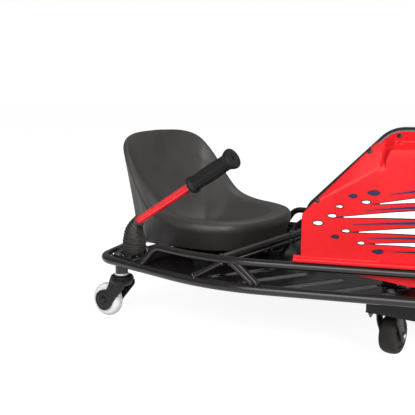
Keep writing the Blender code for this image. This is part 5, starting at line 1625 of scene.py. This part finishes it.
def makeTurret():
    s, d = steer, drive
    axis = at(s["at"], 0, 0)
    low = s["turret"] - s["sheet"]
    rear = d["behind"] + d["motor"]
    half = d["plateRound"]
    corners = [(axis + Vector((-rear, y, low)), d["plateCorner"]) for y in (half, -half)]
    middle = axis + ahead * d["plateAhead"] + up * low
    outline = [middle + level(radians(a - 90), half) for a in range(0, 181, 6)]
    outline += filleted([(outline[-1], 0), *corners, (outline[0], 0)], step=radians(12))[1:-1]
    parts = [plate(outline, up * s["sheet"], d["edge"])]
    lead = [Vector((x, 0, z)) for x, z in d["blade"]]
    foot = [upright(pi + pi * k / 24, d["blade"][0][0]) + up * d["wheel"] for k in range(25)]
    tail = [Vector((-p.x, 0, p.z)) for p in lead[::-1]]
    blade = foot + smoothed(lead, 6)[1:] + smoothed(tail, 6)[:-1]
    for hand in hands:
        near = axis + aside * hand * s["fork"]
        parts.append(plate([near + p for p in blade], aside * hand * d["bladeThick"], d["edge"]))
        for x in d["stitches"]:  # stitch welds under the plate
            parts.append(turned(d["stitch"], near + Vector((x, hand * 0.0042, low - 0.0004)), ahead, 16))
    made = place("driveFork", parts, "powderCoat", "steering")
    for hand in hands:
        near = axis + up * d["wheel"] + aside * hand * (s["fork"] - 0.004)
        cut(made, rod(near, near + aside * hand * 0.012, d["shaftHole"], 32))
    # The flange bolts that hold the turret to the column, and the motor's bolts
    radius, over = d["flangeBoltsAt"]
    bolts = [hexHead(axis + level(angle, radius) + up * (s["turret"] + over), up, *d["flangeBolt"])
             for angle in turns(6, 0.5)]
    shaft = axis - ahead * d["behind"] + up * d["motorAt"]
    xs, ys = d["motorBoltsAt"]
    bolts += [hexHead(Vector((shaft.x + x, y, s["turret"] + 0.0001)), up, *d["motorBolt"]) for x in xs for y in ys]
    place("turretBolts", bolts, "zincPlate", "steering")

    # The motor: finned case, foot under the plate and terminal box
    profile = mm(*d["rearBell"])
    start, long = d["finned"]
    for k in range(d["fins"]):
        profile += mm(*d["fin"], lift=start + k * (long / d["fins"]))
    tail = shaft - ahead * d["motor"]
    boxLow, boxHigh = (Vector(corner) for corner in d["terminalBox"])
    footLow, (x, y) = d["motorFoot"]
    body = [turned(profile + mm(*d["frontBell"]), shaft, aside, 72),
            slab(shaft + Vector(footLow), Vector((shaft.x + x, shaft.y + y, low - tubes["seatGap"])), 0.0012),
            slab(tail + boxLow, tail + boxHigh, 0.0018)]
    place("driveMotor", body, "castAluminium", "steering", "black_plastic")
    radius, ends = d["bellScrewsAt"]
    bits = [buttonHead(shaft + upright(angle, radius) + aside * y, aside * way, *d["bellScrew"])
            for angle in turns(4, 0.5) for y, way in ends]
    ys, zs = d["boxScrewsAt"]
    bits += [buttonHead(tail + Vector((boxLow.x, y, z)), -ahead, *d["boxScrew"]) for z in zs for y in ys]
    place("motorScrews", bits, "blackOxide", "steering")
    place("motorGland", turned(d["gland"], tail + Vector(d["glandAt"]), up, 24), "glassNylon", "steering")


def makeDriveWheel():
    s, d = steer, drive
    centre = at(s["at"], 0, d["wheel"])

    def tread(angle, height, radius):
        # Two rows of shoulder blocks and a ribbed middle
        if radius < d["wheel"] - 0.0075:
            return 0
        turn = angle * d["blocks"] / (2 * pi) + (0.5 if height > 0 else 0)
        shoulder = softStep((abs(height) - 0.0085) / 0.0015)
        return -0.0022 * shoulder * softStep((0.13 - abs(turn - round(turn))) / 0.05)

    def holes(radius, count, first, start, end, size, sides):
        spots = [centre + upright(angle, radius) for angle in turns(count, first)]
        return [rod(spot + aside * start, spot + aside * end, size, sides) for spot in spots]

    place("driveTyre", turned(d["tread"], centre, aside, d["blocks"] * 8, closed=True, shape=tread), "tyreRubber",
          "drive_wheel")
    rim = mm((d["rimBore"], -24), *d["rim"], (d["rimBore"], 27))
    made = place("driveRim", turned(rim, centre, aside, 96, closed=True), "castAluminium", "drive_wheel", sharp=30)
    cut(made, joined(holes(*d["rimHoles"])))
    # Sprocket with lightening holes, bolted to the hub
    made = place("driveSprocket", toothed(centre, d["teeth"], 0.0034), "turnedSteel", "drive_wheel", edge=0.0003)
    bore = rod(centre, centre + aside * 0.06, d["sprocketBore"], 32)
    cut(made, joined([bore, *holes(*d["sprocketHoles"])]))
    face = centre + aside * (d["chainAt"] + 0.0017)
    place("sprocketBolts", [buttonHead(face + upright(angle, d["sprocketBoltsAt"]), aside, *d["sprocketBolt"])
                            for angle in turns(5, 0.75)], "blackOxide", "drive_wheel")
    head = s["fork"] + 0.0043
    axle = [rod(centre - aside * (head + 0.0002), centre + aside * (head + 0.0002), d["wheelPin"], 32)]
    axle += [hexHead(centre + aside * hand * head, aside * hand, *d["wheelNut"]) for hand in hands]
    place("driveAxle", axle, "zincPlate", "steering")
    shaft = at(s["at"] - d["behind"], 0, d["motorAt"])
    nose = rod(shaft + aside * 0.0213, shaft + aside * (d["chainAt"] + 0.0042), 0.0058, 28, 0.0006)
    place("drivePinion", [nose, toothed(shaft, d["pinionTeeth"], 0.0036)], "turnedSteel", "pinion")
    makeChain(centre, shaft)


def chainRoute(sprocket, pinion):
    # The pitch line as a closed polyline round both wheels
    big, small = pitchRadius(drive["teeth"]), pitchRadius(drive["pinionTeeth"])
    line = pinion - sprocket
    tilt = atan2(line.z, line.x)
    splay = pi / 2 - atan2(big - small, hypot(line.x, line.z))
    route = []
    for start, end, middle, radius in ((tilt + splay, tilt + 2 * pi - splay, sprocket, big),
                                       (tilt - splay, tilt + splay, pinion, small)):
        route += [middle + upright(start + (end - start) * k / 60, radius) for k in range(61)]
    return route


def makeChain(sprocket, pinion):
    d = drive
    route = chainRoute(sprocket, pinion)
    ends = route[1:] + route[:1]
    lengths = [(b - a).length for a, b in zip(route, ends)]
    count = 2 * round(sum(lengths) / d["pitch"] / 2)
    # Evenly spaced pins along the route
    pins = []
    reach = 0.0
    for a, b, long in zip(route, ends, lengths):
        while len(pins) < count and len(pins) * sum(lengths) / count <= reach + long + 1e-9:
            want = len(pins) * sum(lengths) / count
            pins.append(a.lerp(b, (want - reach) / long if long > 1e-9 else 0) + aside * d["chainAt"])
        reach += long
    parts = []
    for k, (a, b) in enumerate(zip(pins, pins[1:] + pins[:1])):
        parts += [rod(a - aside * long, a + aside * long, radius, sides)
                  for long, radius, sides in ((0.0030, 0.0036, 18), (0.0046, 0.0017, 12))]
        along = (b - a).normalized()
        out = aside.cross(along)
        inner, outer = (0.0024, 0.0033) if k % 2 else (0.0034, 0.0043)
        outline = []
        for way in hands:
            spot = (a + b) / 2 + along * way * (b - a).length / 2
            for j in range(9):
                angle = radians(-68 + 17 * j)
                outline.append(spot + (along * cos(angle) + out * sin(angle)) * way * 0.0043)
            outline.append((a + b) / 2 + out * way * 0.0027)
        for hand in hands:
            low = min(hand * inner, hand * outer)
            parts.append(prism([p + aside * low for p in outline], aside * (outer - inner)))
    place("driveChain", parts, "oiledChain", "steering")


makeTurret()
makeDriveWheel()
print("drive unit made")

# Electrics: two batteries in a tray under the pan, the controller, the switch panel and the pedal

power = {
    "battery": (0.151, 0.094, 0.065), "rear": 0.102, "sheet": 0.0015, "fit": 0.0015, "flange": 0.010, "bend": 0.0035,
    "lidAt": 0.0125, "lidIn": 0.0012, "lidGap": 0.0004, "floorRibs": (-0.060, -0.020, 0.020, 0.060),
    "floorRib": (0.020, 0.0022), "trayBolt": (0.0070, 0.0035, 0.0046), "trayBoltsAt": (0.005, 0.025, 0.080),
    "controller": (0.090, 0.060, 0.026), "controllerAt": (0.112, -0.030), "ribs": 9, "end": 0.0021,
    "panelHalf": (0.036, 0.016), "panelBend": 0.0040, "panelSheet": 0.002,
    # the switch's housing and the recess in it: reach to the rear, right and left sides, drops from the top
    "housing": ((-0.0050, -0.0280, -0.0225), (-0.0010, -0.0040, -0.0055)),
    "recess": ((-0.0090, -0.0243, -0.0193), (-0.0016, -0.0077, -0.0087)),
    "panelScrew": (0.0042, 0.0024), "panelScrewsAt": (-0.0270, 0.0270), "panelRise": 0.0020, "panelDrop": 0.0300,
    "portAt": (-0.0023, 0.018, -0.0140), "portPins": 3, "portPin": (0.0009, 14, 0.0004), "portPinsAt": 0.0036,
    "hingeAt": (-0.005, -0.016, -0.014),
    "port": mm((0.3, 2.2), (6.8, 2.2), (7, 4.6), (7.6, 5.2), (8.2, 5.2), (8.6, 4.6), (8.6, 1.8), (9, 1.2), (9, 0)),
    "rocker": mm((-3.5, -4.5), (-3.1, -4), (-1.8, -1.2), (-1.5, 0), (-1.6, 1.2), (-2, 4), (-1.9, 4.5), (0.4, 4.5),
                 (0.8, 0), (0.4, -4.5)), "rockerHalf": 0.0077,
}


def makeBatteries():
    p = power
    long, wide, tall = p["battery"]
    fit, sheet, flange = p["fit"], p["sheet"], p["flange"]
    top = underDeck
    inner = Vector((long + 2 * fit, 2 * wide + 3 * fit, tall + 2 * fit))
    low = top - inner.z - sheet
    half = inner.y / 2 + sheet
    start = at(p["rear"], -half, low)
    end = at(p["rear"] + inner.x + 2 * sheet, half, top)
    # The tray: a folded box with soft corners, pressed ribs on its floor and a flange
    rings = []
    for grow, height in ((-0.0040, low), (-0.0012, low + 0.0006), (0.0, low + 0.0030), (0.0, top - 0.0022),
                         (0.0006, top - 0.0015), (flange - 0.0006, top - 0.0015), (flange, top - 0.0009),
                         (flange - 0.0004, top), (0.0, top), (-0.0012, top - 0.0004), (-sheet, top - 0.0030),
                         (-sheet, low + 0.0040), (-sheet - 0.0020, low + sheet + 0.0004), (-0.0060, low + sheet)):
        r = max(p["bend"] + grow, 0.0020)
        (x0, y0), (x1, y1) = (start.x - grow, start.y - grow), (end.x + grow, end.y + grow)
        corners = [(Vector((x, y, height)), r) for x, y in ((x0, y0), (x1, y0), (x1, y1), (x0, y1))]
        rings.append(filleted(corners, closed=True, step=radians(15)))
    tray = [loft(rings)]
    short, radius = p["floorRib"]
    tray += [rod(Vector((start.x + short, y, low + 0.0010)), Vector((end.x - short, y, low + 0.0010)), radius, 12,
                 0.0014) for y in p["floorRibs"]]
    place("batteryTray", tray, "shadedPowderSheet")
    out, back, wideAt = p["trayBoltsAt"]
    spots = [(x, y) for x in (start.x - out, end.x + out) for y in (-wideAt, 0.0, wideAt)]
    spots += [(x, side * (half + out)) for side in hands for x in (start.x + back, start.x + long / 2, end.x - back)]
    place("trayBolts", [hexHead(Vector((x, y, top - 0.0016)), -up, *p["trayBolt"]) for x, y in spots], "zincPlate")
    for name, side in (("Right", -1), ("Left", 1)):
        near = side * (wide + fit) / 2
        base = at(p["rear"] + sheet + fit, near - wide / 2, low + sheet + 0.0003)
        lid, inset = p["lidAt"], p["lidIn"]
        case = [slab(base, base + Vector((long, wide, tall - lid)), 0.0018),
                slab(base + Vector((inset, inset, tall - lid + p["lidGap"])),
                     base + Vector((long - inset, wide - inset, tall)), 0.0016)]
        place("battery" + name, case, "batteryAbs")


def makeController():
    p = power
    long, wide, tall = p["controller"]
    start = at(*p["controllerAt"], pan["top"] + 0.0003)
    # An extruded case: flat below, ribbed above
    pitch = wide / p["ribs"]
    outline = [(0.0008, 0), (0, 0.0008), (0, tall - 0.0060)]
    for k in range(p["ribs"]):
        outline += [((k + share) * pitch, tall - depth) for share, depth in
                    ((0.12, 0.0006), (0.24, 0), (0.50, 0), (0.62, 0.0006), (0.70, 0.0055), (1.02, 0.0055))]
    outline[-1:] = [(wide, tall - 0.0060), (wide, 0.0008), (wide - 0.0008, 0)]
    body = prism([start + Vector((0.0020, y, z)) for y, z in outline], ahead * (long - 0.0040))
    place("controller", body, "castAluminium", edge=0.0002)
    ends = []
    screws = []
    for x, way in ((0.0, -1), (long - p["end"], 1)):
        ends.append(slab(start + Vector((x, 0.0004, 0)), start + Vector((x + p["end"], wide - 0.0004, tall - 0.0004)),
                         0.0006))
        face = start.x + (x if way < 0 else x + p["end"])
        screws += [buttonHead(Vector((face, start.y + y, start.z + z)), ahead * way, 0.0021, 0.0014)
                   for y in (0.0060, wide - 0.0060) for z in (0.0050, tall - 0.0080)]
    place("controllerEnds", ends, "glassNylon")
    place("controllerScrews", screws, "blackOxide")


def makePanel():
    t, p = tubes, power
    top = t["upperAt"] + t["upper"] + t["seatGap"]
    half, reach = p["panelHalf"]
    corner = at(t["dashTube"] - reach, 0, top)
    rise = p["panelRise"]
    # Two faces of folded sheet with a rounded bend and rounded corners
    line = filleted([(corner + Vector((-rise, 0, -p["panelDrop"])), 0),
                     (corner + Vector((-rise, 0, rise)), p["panelBend"]),
                     (corner + Vector((2 * reach, 0, rise)), 0)], step=radians(9))
    ends = [min((point - line[0]).length, (point - line[-1]).length) for point in line]
    halves = [half - 0.004 * (1 - softStep(end / 0.004)) for end in ends]
    housing, recess = ([corner + Vector(spot) for spot in p[key]] for key in ("housing", "recess"))
    made = place("switchPanel", [folded(line, halves, p["panelSheet"]), slab(*housing, 0.0012)], "powderCoat")
    cut(made, slab(*recess))
    place("panelScrews", [buttonHead(at(t["dashTube"], y, top + rise), up, *p["panelScrew"])
                          for y in p["panelScrewsAt"]], "blackOxide")
    # Three-pin charger port with a locking collar
    port = corner + Vector(p["portAt"])
    place("chargerPort", turned(p["port"], port, -ahead, 44), "glassNylon")
    radius = p["portPinsAt"]
    spots = [port + Vector((-0.0020, radius * cos(angle), radius * sin(angle)))
             for angle in turns(p["portPins"], p["portPins"] / 4)]
    place("chargerPins", [rod(spot, spot - ahead * 0.0026, *p["portPin"]) for spot in spots], "brass")
    hinge = corner + Vector(p["hingeAt"])
    half = p["rockerHalf"]
    place("powerSwitch", prism([hinge + Vector((x, -half, z)) for x, z in p["rocker"]], aside * 2 * half),
          "rockerPolycarbonate", "switch", edge=0.0004)
    # A bar and a ring moulded on the rocker's two halves
    high = hinge + Vector((-0.00215, 0, 0.0026))
    low = hinge + Vector((-0.0026, 0, -0.0026))
    ring = [low + Vector((0.000352 * sin(angle), 0.0011 * cos(angle), 0.0010 * sin(angle))) for angle in turns(20)]
    place("switchMarks", [slab(high + Vector((-0.0002, -0.0003, -0.0011)), high + Vector((0.0004, 0.0003, 0.0011))),
                          sweep(ring, 0.00022, 8, closed=True)], "vinylWhite", "switch", "bar")


pedal = {
    "across": -0.090, "hinge": 0.556, "slope": radians(38), "long": 0.100, "half": 0.019, "ribs": 9, "steps": 60,
    "base": (0.545, 0.605, 0.024, 0.003), "hingeUp": 0.014, "ear": 0.0080, "earAt": 0.021, "earFoot": 0.0020,
    "bolt": (0.0040, 0.0024), "boltsAt": ((0.578, 0.597), (-0.015, 0.015)), "barrel": (0.0190, 0.0064, 32, 0.0006),
    "pin": (0.0254, 0.0034, 24, 0.0004), "webAt": 0.011, "web": 0.0022,
    # half the plate's section: how far in from its side, and how high
    "section": mm((0.6, 0), (0, 0.6), (0, 3), (1, 3.6), (3.5, 3.4)),
}


def makePedal():
    p = pedal
    low = pan["top"] + tubes["seatGap"]
    across = p["across"]
    hinge = at(p["hinge"], across, low + p["hingeUp"])
    rear, front, half, thick = p["base"]
    base = [slab(at(rear, across - half, low), at(front, across + half, low + thick), 0.0008)]
    ends, down = p["ear"], low + p["earFoot"] - hinge.z
    ear = [Vector((-ends, 0, down)), *[upright(pi - radians(a), ends) for a in range(0, 181, 15)],
           Vector((ends, 0, down))]
    for hand in hands:
        base.append(prism([hinge + aside * hand * p["earAt"] + point for point in ear], aside * hand * thick))
    place("pedalBracket", base, "powderCoat", edge=0.0004)
    xs, ys = p["boltsAt"]
    place("pedalBolts", [buttonHead(at(x, across + y, low + thick), up, *p["bolt"]) for x in xs for y in ys],
          "zincPlate")
    slope = upright(p["slope"])
    normal = upright(p["slope"] + pi / 2)
    start = hinge + normal * 0.004
    rings = []
    for k in range(p["steps"] + 1):
        t = k / p["steps"]
        centre = start + slope * (-0.006 + (p["long"] + 0.006) * t)
        half = p["half"] - 0.0045 * (1 - softStep(t / 0.05)) - 0.0060 * softStep((t - 0.93) / 0.07)
        rib = 0.0010 * softStep(0.5 - 2.2 * cos(2 * pi * p["ribs"] * t * 1.02)) * (0.12 < t < 0.95)
        right = [(half - x, z) for x, z in p["section"]]
        right[-1] = (right[-1][0], right[-1][1] + rib)
        left = [(-y, z) for y, z in right[::-1]]
        rings.append([centre + aside * y + normal * z for y, z in left[-2:] + right + left[:-2]])
    parts = [loft(rings)]
    for reach, *shape in (p["barrel"], p["pin"]):
        parts.append(rod(hinge - aside * reach, hinge + aside * reach, *shape))
    web = [start + slope * 0.004, start + slope * 0.080, start + slope * 0.030 - normal * 0.0055, hinge + slope * 0.004]
    for hand in hands:  # stiffening webs under the plate
        parts.append(prism([point + aside * hand * p["webAt"] for point in web], aside * hand * p["web"]))
    place("throttlePedal", parts, "glassNylon", "pedal")


makeBatteries()
makeController()
makePanel()
makePedal()
print("electrics and pedal made")

# Wiring harness: one jacketed cable from the controller along the frame to the motor, tied at intervals

harness = {
    "points": [
        (0.2025, 0.000, 0.143), (0.2180, 0.0005, 0.1425), (0.2300, 0.016, 0.140), (0.226, 0.050, 0.138),
        (0.205, 0.110, 0.138), (0.180, 0.180, 0.142), (0.180, 0.198, 0.160), (0.215, 0.206, 0.188),
        (0.300, 0.220, 0.231), (0.400, 0.238, 0.2625), (0.440, 0.237, 0.289), (0.485, 0.225, 0.303),
        (0.560, 0.188, 0.297), (0.660, 0.110, 0.262), (0.735, 0.050, 0.235), (0.745, 0.036, 0.212),
    ],
    "radius": 0.0050, "ties": (0.26, 0.40, 0.56, 0.74, 0.90),
    "tie": mm((5.1, -1.6), (6, -1.4), (6, 1.4), (5.1, 1.6)),
    "boot": mm((8, -0.4), (8.4, 1), (8.2, 5), (7.4, 5.6), (7.4, 9), (6.7, 9.6), (6.7, 13), (6, 13.6), (5.9, 18),
               (5.1, 20)),
}


def makeHarness():
    h = harness
    route = smoothed([at(*p) for p in h["points"]], 8)
    r = h["radius"]
    made = place("wiringHarness", sweep(route, r, 28), "cablePvc", sharp=60)
    bits = []
    for share in h["ties"]:
        k = round(share * (len(route) - 1))
        along = (route[k + 1] - route[k - 1]).normalized()
        lock = route[k] + along.cross(up).normalized() * (r + 0.0016)
        bits += [turned(h["tie"], route[k], along, 28, closed=True),
                 rod(lock - along * 0.0022, lock + along * 0.0022, 0.0021, 12, 0.0005)]
    ties = place("harnessTies", bits, "glassNylon")
    boots = [turned(h["boot"], end, way, 28)
             for end, way in ((route[0], route[1] - route[0]), (route[-1], route[-2] - route[-1]))]
    glands = place("harnessBoots", boots, "gripRubber", slot="black_plastic")


makeHarness()
print("harness made")
